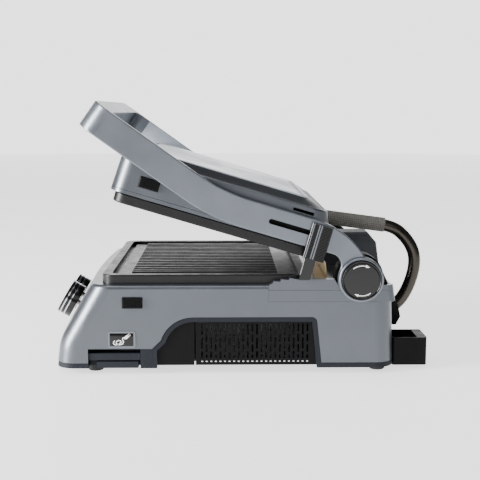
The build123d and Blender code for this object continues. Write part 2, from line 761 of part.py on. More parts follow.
def knob_rings():
    rings = []
    for low in knob_ring_places():
        ring = Pos(0, 0, low) * Cylinder(
            KNOB_R + 0.15, RING_WIDE, align=(Align.CENTER, Align.CENTER, Align.MIN)
        )
        ring -= Pos(0, 0, low - 1) * Cylinder(
            KNOB_R - 1.0, RING_WIDE + 2, align=(Align.CENTER, Align.CENTER, Align.MIN)
        )
        rings.append(ring.solid())
    return Compound(children=rings)


def thermostats():
    """Thermostat bodies behind the sloping face, each with its spindle."""
    bodies = []
    for x in knob_places():
        can = rod_on_slope(15, -22, -WALL - 0.7, x)
        can += rod_on_slope(SPINDLE_R, -WALL - 2, KNOB_OFF + 10, x)
        bodies.append(can.solid())
    return Compound(children=bodies)


# ---- release buttons, drawn for the lower half ----
def release_button(face_x, wall):
    """Push button: ridged cap through the side wall, with a flange behind it."""
    y = BUTTON_Y
    z = BUTTON_LOW_Z
    cap = box(
        face_x - wall - 1.0, face_x + BUTTON_OUT, y - BUTTON_LONG / 2, y + BUTTON_LONG / 2,
        z - BUTTON_TALL / 2, z + BUTTON_TALL / 2,
    )
    cap = fillet(cap.faces().sort_by(Axis.X)[-1].edges(), 1.4)
    for i in range(5):
        ridge_y = y - 6 + i * 3
        cap += box(
            face_x + BUTTON_OUT - 0.2, face_x + BUTTON_OUT + 0.4, ridge_y - 0.5, ridge_y + 0.5,
            z - 3.5, z + 3.5,
        )
    cap += box(
        flange_x(face_x, wall), face_x - wall - GAP, y - BUTTON_LONG / 2 - 2,
        y + BUTTON_LONG / 2 + 2, z - BUTTON_TALL / 2 - 1.5, z + BUTTON_TALL / 2 + 1.5,
    )
    return cap


def flange_x(face_x, wall):
    return face_x - wall - 3.0


def release_latch(face_x, wall):
    """Slide behind the button: pushed in, its nose slips off the plate's ledge."""
    z = BUTTON_LOW_Z
    bar = box(LATCH_END_X, flange_x(face_x, wall), BUTTON_Y - 5, BUTTON_Y + 5, z - 1.5, z + 1.5)
    ledge = BODY_TOP_Z - LEDGE_DROP
    ledge_in = TAB_X - LEDGE_DEEP
    post_x = ledge_in - GAP
    bar += box(post_x - 2.7, post_x, BUTTON_Y - 5, BUTTON_Y + 5, z - 1.5, ledge + GAP + 2)
    bar += box(
        post_x - 1, ledge_in + BUTTON_TRAVEL - 0.2, BUTTON_Y - 5, BUTTON_Y + 5,
        ledge + GAP, ledge + GAP + 2,
    )
    return bar


def release_spring():
    """Return spring between the reflector's side and the end of the latch."""
    x0 = PLATE_X / 2 - REFLECTOR_IN + 0.05
    return coil_x(x0, LATCH_END_X - 0.05, BUTTON_Y, BUTTON_LOW_Z, 3.0, SPRING_WIRE, 3)


# ---- arms and handle ----
def arm_outline(inset=0.0):
    """The arm from the side: rising front part, smooth bend, level part and the curve down to the hub."""
    rise = math.radians(ARM_RISE)
    half_w = ARM_WIDE / 2 - inset
    lean = half_w * math.tan(rise / 2)
    top_z = ARM_TOP_Z - inset
    low_z = ARM_LOW_Z + inset
    top_start = (ARM_BEND_Y + lean, top_z)
    low_end = (ARM_BEND_Y - lean, low_z)
    run_y = ARM_BEND_Y - (rise_length() - inset) * math.cos(rise)
    run_z = ARM_Z + (rise_length() - inset) * math.sin(rise)
    front_top = (run_y + half_w * math.sin(rise), run_z + half_w * math.cos(rise))
    front_low = (run_y - half_w * math.sin(rise), run_z - half_w * math.cos(rise))
    arc_start_y = -67.0
    drop_y = -3.2
    reach = drop_y - arc_start_y
    top_r = ARM_TOP_R - inset
    drop_z = ARM_TOP_Z - ARM_TOP_R + math.sqrt(top_r**2 - reach**2)
    mid_reach = reach / 2
    mid_z = ARM_TOP_Z - ARM_TOP_R + math.sqrt(top_r**2 - mid_reach**2)
    hollow_r = 13.0
    neck_z = ARM_LOW_Z - hollow_r
    neck_y = -HUB_R + inset
    corner_y = -HUB_R - hollow_r
    turn = (hollow_r + inset) * math.sqrt(0.5)
    edges = [
        Line(top_start, (arc_start_y, top_z)),
        ThreePointArc((arc_start_y, top_z), (arc_start_y + mid_reach, mid_z), (drop_y, drop_z)),
        Line((drop_y, drop_z), (0, HINGE_Z)),
        Line((0, HINGE_Z), (neck_y, HINGE_Z)),
        Line((neck_y, HINGE_Z), (neck_y, neck_z)),
        ThreePointArc((neck_y, neck_z), (corner_y + turn, neck_z + turn), (corner_y, low_z)),
        Line((corner_y, low_z), low_end),
        Line(low_end, front_low),
        Line(front_low, front_top),
        Line(front_top, top_start),
    ]
    face = make_face(edges)
    bends = face.vertices().filter_by(lambda v: abs(v.X - ARM_BEND_Y) < lean + 0.1)
    return fillet(bends, ARM_BEND_R)


def rise_frame():
    """Frame of the rising front part: +X across, +Y forward along the arm, +Z its width."""
    rise = math.radians(ARM_RISE)
    return Plane(
        origin=(0, ARM_BEND_Y, ARM_Z), x_dir=(-1, 0, 0), z_dir=(0, math.sin(rise), math.cos(rise))
    )


def rise_length():
    return (ARM_BEND_Y - ARM_FRONT_Y) / math.cos(math.radians(ARM_RISE))


def across_rise(sketch):
    """An outline seen square on to the rising part, as a block right through the arms."""
    return rise_frame() * Pos(0, 0, -400) * extrude(sketch, 800)


def handle_frame():
    """The two arms and the grip bar between them, as one rounded U."""
    length = rise_length()
    outer = Pos(0, -400, 0) * Rectangle(2 * ARM_OUT_X, length + 400, align=(Align.CENTER, Align.MIN))
    outer = fillet(outer.vertices().group_by(Axis.Y)[-1], HANDLE_CORNER_R)
    window = Pos(0, -60, 0) * Rectangle(
        2 * CHANNEL_X, length + 60 - HANDLE_DEEP, align=(Align.CENTER, Align.MIN)
    )
    window = fillet(window.vertices().group_by(Axis.Y)[-1], HANDLE_CORNER_R - 9)
    whole = side_plate(arm_outline(), -ARM_OUT_X, ARM_OUT_X) & across_rise(outer)
    whole -= across_rise(window)
    whole -= box(-CHANNEL_X, CHANNEL_X, ARM_BEND_Y - 30, 200, -100, 400)
    grip_edges = whole.edges().filter_by(Axis.X).filter_by(lambda e: e.length > 200)
    whole = fillet(grip_edges, GRIP_EDGE_R)
    hollow = rod_x(HUB_R + 0.8, CHANNEL_X - 5, HUB_IN_X, 0, HINGE_Z)
    hollow += side_plate(arm_outline(SKIN), CHANNEL_X - 5, ARM_OUT_X - SKIN) & box(
        0, 300, ARM_BEND_Y + 20, SLIDER_Y + 14, 0, 400
    )
    hollow += rod_x(PIN_R + RUN, 100, ARM_OUT_X - SKIN, PIN_Y, HINGE_Z + PIN_UP)
    whole -= hollow
    whole -= flipped(hollow)
    hub = rod_x(HUB_R, HUB_IN_X, ARM_OUT_X, 0, HINGE_Z)
    bore = rod_x(AXLE_R + RUN, 100, AXLE_END_X + 0.3, 0, HINGE_Z)
    bore += rod_x(PRESS_R + 0.6, AXLE_END_X + 0.3 + 1.2, 200, 0, HINGE_Z)
    whole += hub
    whole += flipped(hub)
    whole -= bore
    whole -= flipped(bore)
    return whole - slot_block(SLOT_TALL, CHANNEL_X - 5, ARM_OUT_X + 5, 0)


def slot_block(tall, x0, x1, grow):
    """The round-ended slot that the slider's stem runs in."""
    front = SLIDER_Y - STEM_LONG / 2 - SLIDER_TRAVEL - GAP - tall / 2 - grow
    rear = SLIDER_Y + STEM_LONG / 2 + GAP + tall / 2 + grow
    face = Pos((front + rear) / 2, ARM_Z) * SlotOverall(rear - front, tall)
    return side_plate(face, x0, x1)


def slot_shield():
    """Black strip inside the hollow arm, behind the slot."""
    strip = slot_block(SLOT_TALL + 9, CHANNEL_X + 0.02, CHANNEL_X + 1.2, 1)
    return opened(strip)


def arm_liner():
    """Inner cover of one arm, along its level part and up the rise."""
    liner = side_plate(arm_outline(LINER_INSET), ARM_IN_X, CHANNEL_X - 0.02)
    liner &= box(0, 300, -600, -HUB_R - 16, ARM_LOW_Z, 400)
    run = rise_length() - HANDLE_DEEP - HANDLE_CORNER_R
    liner &= across_rise(Pos(0, run - 500, 0) * Rectangle(800, 1000))
    liner -= rod_x(PIN_R + RUN, 100, 200, PIN_Y, HINGE_Z + PIN_UP)
    screw = rise_frame() * Pos(-ARM_IN_X, liner_screw_run(), 0) * Rot(0, 90, 0) * Cylinder(1.6, 10)
    return liner - screw


def liner_screw_run():
    return rise_length() * 0.48


def liner_screw():
    """Cross-slot screw in the inner cover of one arm."""
    head = Rot(0, 90, 0) * Cylinder(3.4, 1.2, align=(Align.CENTER, Align.CENTER, Align.MIN))
    shank = Pos(-0.5, 0, 0) * Rot(0, 90, 0) * Cylinder(
        1.5, 2.4, align=(Align.CENTER, Align.CENTER, Align.MIN)
    )
    slot = Pos(1.2, 0, 0) * Box(1.0, 5, 0.9)
    cross = Pos(1.2, 0, 0) * Box(1.0, 0.9, 5)
    screw = (head - slot - cross) + (Pos(-1.4, 0, 0) * shank)
    return rise_frame() * Pos(-ARM_IN_X, liner_screw_run(), 0) * screw


def hub_ring():
    """Bright bezel round the hub button, fixed to the arm."""
    ring = ring_x(HUB_RING_OUT_R, HUB_RING_IN_R, ARM_OUT_X, ARM_OUT_X + HUB_RING_OUT, 0, HINGE_Z)
    outer = ring.edges().filter_by(GeomType.CIRCLE).sort_by(lambda e: -e.radius * 10 - e.center().X)
    return fillet(outer[0:1], 1.6)


def press_button():
    """Round hub button, guided on the end of the arm's hub."""
    floor_x = AXLE_END_X + 0.3 + 1.2
    x1 = ARM_OUT_X + PRESS_OUT
    button = rod_x(PRESS_R, floor_x + PRESS_TRAVEL + 0.6, x1, 0, HINGE_Z)
    rim = button.edges().filter_by(GeomType.CIRCLE).sort_by(Axis.X)[-1:]
    button = fillet(rim, 1.5)
    lip_x = floor_x + PRESS_TRAVEL + 0.6
    button += rod_x(HUB_RING_IN_R - GAP, lip_x, lip_x + 1, 0, HINGE_Z)
    button -= rod_x(8.5, floor_x - 1, x1 - 3.0, 0, HINGE_Z)
    groove = ring_x(PRESS_R - 2.6, PRESS_R - 3.4, x1 - 0.5, x1 + 1, 0, HINGE_Z)
    return button - groove


def press_spring():
    floor_x = AXLE_END_X + 0.3 + 1.2
    return coil_x(floor_x + 0.05, ARM_OUT_X + PRESS_OUT - 3.05, 0, HINGE_Z, 5.6, 0.5, 5)


def slider_body():
    """Height slider: outer plate, foot block under the arm, and the leg that stands."""
    y0 = SLIDER_Y - SLIDER_LONG / 2
    y1 = SLIDER_Y + SLIDER_LONG / 2
    x0 = ARM_OUT_X + GAP
    x1 = x0 + SLIDER_OUT
    top = HINGE_Z + SLIDER_TOP_UP
    low = HINGE_Z + SLIDER_LOW_UP
    body = box(x0, x1, y0, y1, low, top)
    long_edges = body.edges().filter_by(Axis.Z).group_by(Axis.X)[-1]
    body = fillet(long_edges, 2.4)
    body += box(ARM_IN_X + 0.3, x1 - 1.5, y0 + 2, y1 - 2, low, ARM_LOW_Z - GAP)
    leg = box(
        ARM_IN_X + 0.3, LEG_OUT_X, SLIDER_Y - LEG_LONG + 2.5, SLIDER_Y + 4.5, low - 40, low + 2
    )
    body += leg
    body += box(
        ARM_OUT_X - SKIN - GAP, x0 + 1, SLIDER_Y - STEM_LONG / 2, SLIDER_Y + STEM_LONG / 2,
        ARM_Z - SLOT_TALL / 2 + GAP, ARM_Z + SLOT_TALL / 2 - GAP,
    )
    body -= slider_stripe_cuts(x1)
    standing = opened(body)
    return standing - box(0, 300, -300, 300, 0, RAIL_STEP_Z + GAP)


def stripe_places():
    y0 = SLIDER_Y - SLIDER_LONG / 2
    return [y0 + 2.6, y0 + 8.6, y0 + 11.2]


def slider_stripe_cuts(x1):
    cuts = []
    for y in stripe_places():
        cuts.append(box(x1 - 0.8, x1 + 1, y - 0.6, y + 0.6, 0, 300))
    return Compound(children=cuts)


def slider_stripes():
    x1 = ARM_OUT_X + GAP + SLIDER_OUT
    low = HINGE_Z + SLIDER_LOW_UP
    top = HINGE_Z + SLIDER_TOP_UP
    strips = []
    for y in stripe_places():
        strips.append(opened(box(x1 - 0.8, x1 + 0.2, y - 0.6, y + 0.6, low + 0.5, top - 0.5)).solid())
    return Compound(children=strips)


def slider_keeper():
    """Washer inside the hollow arm that keeps the slider on its slot."""
    x1 = ARM_OUT_X - SKIN - GAP
    return opened(rod_x(7.0, x1 - 2.2, x1, SLIDER_Y, ARM_Z))


# ---- rail on the side that the slider stands on ----
def rail_face(with_teeth):
    if not with_teeth:
        points = [
            (RAIL_FRONT_Y + 0.2, RAIL_SEAM_Z + 0.2),
            (BODY_REAR - 0.4, RAIL_SEAM_Z + 0.2),
            (BODY_REAR - REAR_DRAFT, BODY_TOP_Z),
            (RAIL_FRONT_Y + 0.2, BODY_TOP_Z),
        ]
        return make_face(Polyline(*points, close=True))
    top = RAIL_STEP_Z
    points = [
        (RAIL_FRONT_Y + 0.2, RAIL_SEAM_Z + 0.2),
        (BODY_REAR - 0.4, RAIL_SEAM_Z + 0.2),
        (BODY_REAR - REAR_DRAFT, BODY_TOP_Z),
        (RAIL_STEP_REAR_Y + 4, BODY_TOP_Z),
        (RAIL_STEP_REAR_Y, top),
        (RAIL_STEP_FRONT_Y, top),
        (RAIL_STEP_FRONT_Y - 7.4, top + 1.7),
        (RAIL_STEP_FRONT_Y - 9.0, top - 0.6),
        (RAIL_STEP_FRONT_Y - 17.1, top + 0.2),
        (RAIL_STEP_FRONT_Y - 18.6, top - 2.4),
        (RAIL_STEP_FRONT_Y - 25.5, top - 2.0),
        (RAIL_STEP_FRONT_Y - 27.2, top - 4.6),
        (RAIL_FRONT_Y + 0.2, BODY_TOP_Z),
    ]
    return make_face(Polyline(*points, close=True))


def side_rail(with_teeth):
    """Trim along the top of the side, let into the housing, with the steps on one side."""
    rail = side_plate(rail_face(with_teeth), HALF_X - RAIL_DEEP + 0.2, HALF_X)
    rear_edge = rail.edges().filter_by(
        lambda e: abs(e.center().X - HALF_X) < 0.01 and e.center().Y > BODY_REAR - 3
    )
    rail = fillet(rear_edge, 8.0)
    groove = box(HALF_X - 0.6, HALF_X + 1, RAIL_FRONT_Y - 5, BODY_REAR + 5, 95.0, 95.7)
    return rail - groove


# ---- hinge brackets, tower, shield ----
def hinge_bracket():
    """Black cheek beside the hub, standing on the deck and carrying the axle."""
    slant = side_polygon(
        [
            (-BRACKET_R, BODY_TOP_Z),
            (BODY_REAR - REAR_DRAFT - 5, BODY_TOP_Z),
            (21, HINGE_Z + 17),
            (0, HINGE_Z + BRACKET_R * 0.8),
            (-BRACKET_R, HINGE_Z),
        ],
        BRACKET_IN_X, BRACKET_OUT_X,
    )
    above = box(0, 300, -200, 200, BODY_TOP_Z, 300)
    cheek = (rod_x(BRACKET_R, BRACKET_IN_X, BRACKET_OUT_X, 0, HINGE_Z) & above) + slant
    collar = rod_x(7.0, BRACKET_OUT_X - 1, HUB_IN_X - GAP, 0, HINGE_Z)
    cheek += collar
    hollow = rod_x(BRACKET_R - 4, BRACKET_IN_X - 1, BRACKET_OUT_X - 4, 0, HINGE_Z)
    hollow &= box(0, 300, -200, 200, BODY_TOP_Z + 3, 300)
    cheek -= hollow - rod_x(9, 0, 300, 0, HINGE_Z)
    cheek -= rail_pocket(0.2)
    return cheek - rod_x(AXLE_R, 0, 300, 0, HINGE_Z)


def hinge_axle():
    return rod_x(AXLE_R - 0.01, -AXLE_END_X, AXLE_END_X, 0, HINGE_Z)


def rear_tower():
    """Central hinge housing, shaped so that the lid's rear edge swings over it."""
    points = [
        (-26, BODY_TOP_Z),
        (TOWER_REAR_Y - 4.2, BODY_TOP_Z),
        (TOWER_REAR_Y, BODY_TOP_Z + 3.6),
        (TOWER_REAR_Y - 3.6, 130),
        (28, TOWER_TOP_Z),
        (-5.8, TOWER_TOP_Z),
        (-15.8, 136),
        (-26, 115),
    ]
    tower = side_polygon(points, -TOWER_HALF_X, TOWER_HALF_X)
    side_edges = tower.edges().filter_by(
        lambda e: abs(abs(e.center().X) - TOWER_HALF_X) < 0.01 and e.center().Z > BODY_TOP_Z + 1
    )
    tower = chamfer(side_edges, 1.5)
    for x in (TOWER_HALF_X, -TOWER_HALF_X):
        tower -= box(x - 0.8, x + 0.8, -100, 100, TOWER_TOP_Z - 5.5, TOWER_TOP_Z - 4.7)
    return tower - rod_x(AXLE_R, -100, 100, 0, HINGE_Z)


def heat_shield():
    """Bent sheet between the lower plate and the hinge, with a foot on the deck."""
    half = BRACKET_IN_X - 4
    upright = side_polygon(
        [
            (SHIELD_Y, BODY_TOP_Z),
            (SHIELD_Y + 1.0, BODY_TOP_Z),
            (SHIELD_Y - 1.0, SHIELD_TOP_Z),
            (SHIELD_Y - 2.0, SHIELD_TOP_Z),
        ],
        -half, half,
    )
    foot = box(-half, half, SHIELD_Y - 12, SHIELD_Y + 1.0, BODY_TOP_Z, BODY_TOP_Z + 1.0)
    return upright + foot


# ---- conduit ----
def tube_points(route):
    return [(TUBE_X, y, z) for y, z in route]


def bend_radii(route, diameter):
    """Radius at each inner point: 0.45 of the shorter run over the tangent of half the turn."""
    radii = []
    for a, b, c in zip(route, route[1:], route[2:]):
        first = Vector(b[0] - a[0], b[1] - a[1], 0)
        second = Vector(c[0] - b[0], c[1] - b[1], 0)
        half_turn = math.radians(first.get_angle(second)) / 2
        radii.append(0.45 * min(first.length, second.length) / math.tan(half_turn))
    print("bend radii", [round(r, 1) for r in radii], "of a tube", diameter, "thick")
    return radii


def tube_solid(radius, path):
    start = Plane(origin=path @ 0, z_dir=path % 0)
    return sweep(start * Circle(radius), path=path)


def tube_path():
    radii = bend_radii(TUBE_ROUTE, 2 * TUBE_R)
    return FilletPolyline(*tube_points(TUBE_ROUTE), radius=radii)


def conduit_tube():
    """Steel conduit from the socket in the rear wall, round the hinge, into the sleeve."""
    path = tube_path()
    tube = tube_solid(TUBE_R, path)
    print("conduit volume", round(tube.volume), "expected", round(math.pi * TUBE_R**2 * path.length))
    return tube - tube_solid(TUBE_R - TUBE_WALL, path)


def sleeve_rod(radius):
    """A straight rod in line with the conduit's last run, from the sleeve's end to the lid."""
    last, before = TUBE_ROUTE[-1], TUBE_ROUTE[-2]
    fall = (last[1] - before[1]) / (last[0] - before[0])
    rear_z = last[1] + (SLEEVE_REAR_Y - last[0]) * fall
    front_z = last[1] + (SLEEVE_FRONT_Y - last[0]) * fall
    path = Line((TUBE_X, SLEEVE_REAR_Y, rear_z), (TUBE_X, SLEEVE_FRONT_Y, front_z))
    return tube_solid(radius, path)


def conduit_sleeve():
    """Heat-proof sleeve from inside the lid's rear wall to the conduit's upper end."""
    return sleeve_rod(SLEEVE_R) - sleeve_rod(TUBE_R + SLEEVE_BORE_GAP)


def tube_socket():
    """Block on the rear wall that the conduit runs into."""
    half = SOCKET_WIDE / 2
    y0 = BODY_REAR - 0.3
    points = [
        (y0, SOCKET_LOW_Z),
        (y0 + SOCKET_DEEP * 0.75, SOCKET_LOW_Z),
        (y0 + SOCKET_DEEP, SOCKET_LOW_Z + 10),
        (y0 + SOCKET_DEEP - 3, SOCKET_TOP_Z - 2),
        (y0 + SOCKET_DEEP - 8, SOCKET_TOP_Z + 2),
        (y0 - 0.2, SOCKET_TOP_Z),
    ]
    block = side_polygon(points, TUBE_X - half, TUBE_X + half)
    block -= housing_block(0, BODY_LOW_Z)
    return block - tube_solid(TUBE_R + 0.15, tube_path())


# ---- grease cup ----
def grease_cup():
    """Open box hung on the rear wall, with a trough that reaches in under the chute."""
    half = CUP_WIDE / 2
    y0 = BODY_REAR + GAP
    y1 = BODY_REAR + CUP_DEEP
    cup = rounded_box(CUP_X - half, CUP_X + half, y0, y1, CUP_LOW_Z, CUP_TOP_Z, 3.0)
    cup -= rounded_box(
        CUP_X - half + CUP_WALL, CUP_X + half - CUP_WALL, y0 + CUP_WALL, y1 - 11,
        CUP_LOW_Z + CUP_WALL, CUP_TOP_Z + 5, 2.0,
    )
    cup -= box(
        CUP_X - half + CUP_WALL, CUP_X + half - CUP_WALL, y1 - 11 + CUP_WALL, y1 - CUP_WALL,
        CUP_LOW_Z - 1, CUP_TOP_Z - 2.2,
    )
    wide = TONGUE_WIDE / 2
    top = CUP_TOP_Z - 3
    trough = box(CUP_X - wide, CUP_X + wide, y0 - TONGUE_LONG, y0 + 1, TONGUE_LOW_Z, top)
    trough -= box(
        CUP_X - wide + 1.5, CUP_X + wide - 1.5, y0 - TONGUE_LONG + 1.5, y0 + 5,
        TONGUE_LOW_Z + 1.5, top + 5,
    )
    return (cup + trough) - box(
        CUP_X - wide + 1.5, CUP_X + wide - 1.5, y0 - 1, y0 + CUP_WALL + 1, TONGUE_LOW_Z + 1.5, 60
    )


def grease_chute():
    """Sheet chute inside the housing from under the drain slot to the cup's trough."""
    rear = PLATE_FRONT_Y + PLATE_Y
    top_y = rear - PLATE_RIM - 2.5
    top_z = BODY_TOP_Z - TUB_DEEP - 3
    low_y = BODY_REAR - 12
    low_z = CUP_TOP_Z + 4
    slope = side_polygon(
        [(top_y - 6, top_z), (top_y - 6, top_z - 1.2), (low_y, low_z - 1.2), (low_y, low_z)],
        DRAIN_X - 11, DRAIN_X + 11,
    )
    under_deck = BODY_TOP_Z - WALL - 0.1
    for x0, x1 in ((DRAIN_X - 12, DRAIN_X - 11), (DRAIN_X + 11, DRAIN_X + 12)):
        slope += box(x0, x1, rear + 8, rear + 16, top_z - 14, under_deck)
        slope += side_polygon(
            [(top_y - 6, top_z + 2), (top_y - 6, top_z - 1.2), (low_y, low_z - 1.2), (low_y, low_z + 6)],
            x0, x1,
        )
    return slope


# ---- lid ----
def lid_outline(low_z, high_z, inset):
    """The lid's tapered side wall between two heights, drawn in by inset."""
    def ring(z):
        up = (z - LID_LOW_Z) / LID_SIDE_TALL
        front = LID_FRONT_Y + LID_FRONT_DRAFT * up + inset
        rear = LID_REAR_Y - LID_REAR_DRAFT * up - inset
        wide = LID_WIDTH - 2.0 * up - 2 * inset
        radius = LID_CORNER_R - inset
        outline = RectangleRounded(wide, rear - front, radius)
        return Pos(0, (front + rear) / 2, z) * outline
    return loft([ring(low_z), ring(high_z)])


def lid_shell():
    """Silver side wall of the lid."""
    seam = LID_LOW_Z + LID_RIM_TALL
    shell = lid_outline(seam + 0.4, LID_TOP_Z, 0)
    shell = fillet(shell.faces().sort_by(Axis.Z)[-1].outer_wire().edges(), 2.4)
    shell -= lid_outline(seam - 5, LID_TOP_Z + 5, LID_WALL + 1.0)
    button_z = lid_button_z()
    shell -= box(
        LID_HALF - 15, LID_HALF + 10, BUTTON_Y - BUTTON_LONG / 2 - GAP,
        BUTTON_Y + BUTTON_LONG / 2 + GAP, button_z - BUTTON_TALL / 2 - GAP,
        button_z + BUTTON_TALL / 2 + GAP,
    )
    for side in (-1, 1):
        shell -= Pos(side * LID_HALF, PIN_Y, HINGE_Z + PIN_UP) * Rot(0, 90, 0) * Cylinder(PIN_R, 20)
        slot_y = FASCIA_SLOT_Y
        shell -= box(
            side * LID_HALF - 6, side * LID_HALF + 6, slot_y - 12, slot_y + 12,
            HINGE_Z + FASCIA_SLOT_UP - 1.6, HINGE_Z + FASCIA_SLOT_UP + 1.6,
        )
    return shell - lying(sleeve_rod(SLEEVE_R + 0.1))


def lid_button_z():
    return PLATE_TOP_Z + UPPER_FACE_Z - BUTTON_LOW_Z


def lid_rim():
    """Lower rim of the lid, closed towards the plate, under a fine seam."""
    seam = LID_LOW_Z + LID_RIM_TALL
    rim = lid_outline(LID_LOW_Z, seam, 0)
    half = PLATE_X / 2 - TUB_IN + 2
    rim -= rounded_box(
        -half, half, PLATE_FRONT_Y + TUB_IN - 2, PLATE_FRONT_Y + PLATE_Y - TUB_IN + 2,
        LID_LOW_Z - 5, seam + 5, PLATE_CORNER_R,
    )
    return rim - tab_opening(LID_LOW_Z - 5, seam + 5)


def lid_band():
    """Dark sloping band between the side wall and the flat top plate."""
    inset = LID_WALL + 1.2
    front = LID_FRONT_Y + LID_FRONT_DRAFT + inset
    rear = LID_REAR_Y - LID_REAR_DRAFT - inset
    wide = LID_WIDTH - 2 - 2 * inset

    def ring(z, more, radius):
        outline = RectangleRounded(wide - 2 * more, rear - front - 2 * more, radius)
        return Pos(0, (front + rear) / 2, z) * outline

    corner = LID_CORNER_R - inset
    rise = BAND_RISE - TOP_PLATE_THICK
    slope_in = BAND_IN - inset
    inner_r = max(corner - 6, 4)
    band = loft([ring(LID_TOP_Z - 0.6, 0, corner), ring(LID_TOP_Z + rise, slope_in, inner_r)])
    skirt = extrude(ring(LID_TOP_Z - 4, 0, corner), 3.4)
    hollow = loft(
        [
            ring(LID_TOP_Z - 4.5, 2.0, corner - 2),
            ring(LID_TOP_Z + rise - 2.4, slope_in + 0.5, inner_r),
        ]
    )
    band = (skirt + band) - hollow - lying(sleeve_rod(SLEEVE_R + 0.1))
    stud_low = PLATE_TOP_Z + UPPER_FACE_Z - reflector_low()
    for y in (PLATE_MID_Y - 50, PLATE_MID_Y + 50):
        for x in (-90, 90):
            band += rod_z(3, stud_low, LID_TOP_Z + rise - 1, x, y)
    return band


def lid_top_plate():
    """Flat brushed cover let in to the dark band."""
    inset = BAND_IN + 0.3
    front = LID_FRONT_Y + LID_FRONT_DRAFT + inset
    rear = LID_REAR_Y - LID_REAR_DRAFT - inset
    wide = LID_WIDTH - 2 - 2 * inset
    base = LID_TOP_Z + BAND_RISE - TOP_PLATE_THICK
    outline = RectangleRounded(wide, rear - front, 9.0)
    plate = Pos(0, (front + rear) / 2, base) * extrude(outline, TOP_PLATE_THICK)
    plate = chamfer(plate.faces().sort_by(Axis.Z)[-1].outer_wire().edges(), 0.5)
    for y in (rear - 9.0, rear - 6.4):
        plate -= box(-wide / 2 + 6, wide / 2 - 6, y, y + 0.7, base + TOP_PLATE_THICK - 0.5, base + 9)
    return plate


def over_to_lid(shape):
    """Turns a piece of the lower half over, so that it faces down from the lid."""
    middle = (PLATE_TOP_Z + UPPER_FACE_Z) / 2
    return mirror(shape, Plane(origin=(0, 0, middle), z_dir=(0, 0, 1)))


def lid_pivot_pin():
    """Pin from the lid's side wall into the arm, with a flange inside the wall."""
    z = HINGE_Z + PIN_UP
    pin = rod_x(PIN_R - 0.01, LID_HALF - 8, ARM_OUT_X - SKIN - 0.6, PIN_Y, z)
    return pin + rod_x(9, LID_HALF - 8, LID_HALF - LID_WALL - 2.2, PIN_Y, z)


# ---- terminal block ----
def terminal_block():
    block = box(-30, 30, -8, 10, FRAME_LOW_Z + PAN_THICK, 30)
    for i in range(4):
        block -= rod_z(2.4, 26, 40, -21 + i * 14, 1)
    return block


# ---- build everything ----
put("housing_shell", housing_shell())
put("base_frame", base_frame())
put("rubber_feet", rubber_feet())
put("base_screws", base_screws())
grille = group(side_grille(), arch_panel())
put("vent_grille_right", grille)
put("vent_grille_left", flipped(grille))
put("cord_stores", group(cord_store(), flipped(cord_store())))
put("cord_icon_plate", cord_icon_plate())
put("cord_inlet_bush", cord_inlet_bush())
put("indicator_lamps", indicator_lamps())
put("terminal_block", terminal_block())

plate = grill_plate()
half_plate = PLATE_X / 2
plate_rear = PLATE_FRONT_Y + PLATE_Y
heater_z = BODY_TOP_Z + 0.4 - HEATER_R
heater = heater_loop(half_plate, PLATE_FRONT_Y, plate_rear, heater_z)
reflector = reflector_pan(half_plate, PLATE_FRONT_Y, plate_rear, BODY_TOP_Z - REFLECTOR_TOP_DROP)
posts = clip_blocks(
    half_plate, PLATE_FRONT_Y, plate_rear, reflector_low() + REFLECTOR_THICK, heater_z - HEATER_R
)
put("lower_grill_plate", plate)
put("lower_heating_element", heater)
put("lower_reflector", reflector)
put("lower_element_posts", posts)
put("upper_grill_plate", opened(over_to_lid(plate)))
put("upper_heating_element", opened(over_to_lid(heater)))
put("upper_reflector", opened(over_to_lid(reflector)))
put("upper_element_posts", opened(over_to_lid(posts)))

put("thermostats", thermostats())
for side, x in (("left", -KNOB_APART / 2), ("right", KNOB_APART / 2)):
    put("knob_" + side, on_slope(knob_body(), x))
    put("knob_rings_" + side, on_slope(knob_rings(), x))

lid_face = LID_HALF - LID_BUTTON_IN
lid_wall = LID_WALL + 1.8
spring = release_spring()
put("lower_release_button", release_button(HALF_X, WALL))
put("lower_latch", release_latch(HALF_X, WALL))
put("lower_release_spring", spring)
put("upper_release_button", opened(over_to_lid(release_button(lid_face, lid_wall))))
put("upper_latch", opened(over_to_lid(release_latch(lid_face, lid_wall))))
put("upper_release_spring", opened(over_to_lid(spring)))

put("handle_frame", opened(handle_frame()))
put("arm_liner_right", opened(arm_liner()))
put("arm_liner_left", opened(flipped(arm_liner())))
screw = liner_screw()
put("slot_shield", slot_shield())
put("liner_screws", opened(group(screw, flipped(screw))))
put("hub_rings", opened(group(hub_ring(), flipped(hub_ring()))))
for side, turn in (("right", group), ("left", flipped)):
    put("press_button_" + side, opened(turn(press_button())))
    put("press_spring_" + side, opened(turn(press_spring())))
    put("hinge_bracket_" + side, turn(hinge_bracket()))
put("height_slider", slider_body())
put("slider_stripes", slider_stripes())
put("slider_keeper", slider_keeper())
put("ratchet_rail_right", side_rail(True))
put("side_rail_left", flipped(side_rail(False)))
put("hinge_axle", hinge_axle())
put("rear_tower", rear_tower())
put("heat_shield", heat_shield())
put("conduit_tube", conduit_tube())
put("conduit_sleeve", conduit_sleeve())
put("tube_socket", tube_socket())
put("grease_cup", grease_cup())
put("grease_chute", grease_chute())

put("lid_shell", opened(lid_shell()))
put("lid_rim", opened(lid_rim()))
put("lid_band", opened(lid_band()))
put("lid_top_plate", opened(lid_top_plate()))
pin = lid_pivot_pin()
put("lid_pivot_pins", opened(group(pin, flipped(pin))))
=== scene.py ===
import math

import bmesh
import bpy
from bpy.props import FloatProperty, PointerProperty, StringProperty
from mathutils import Matrix, Vector


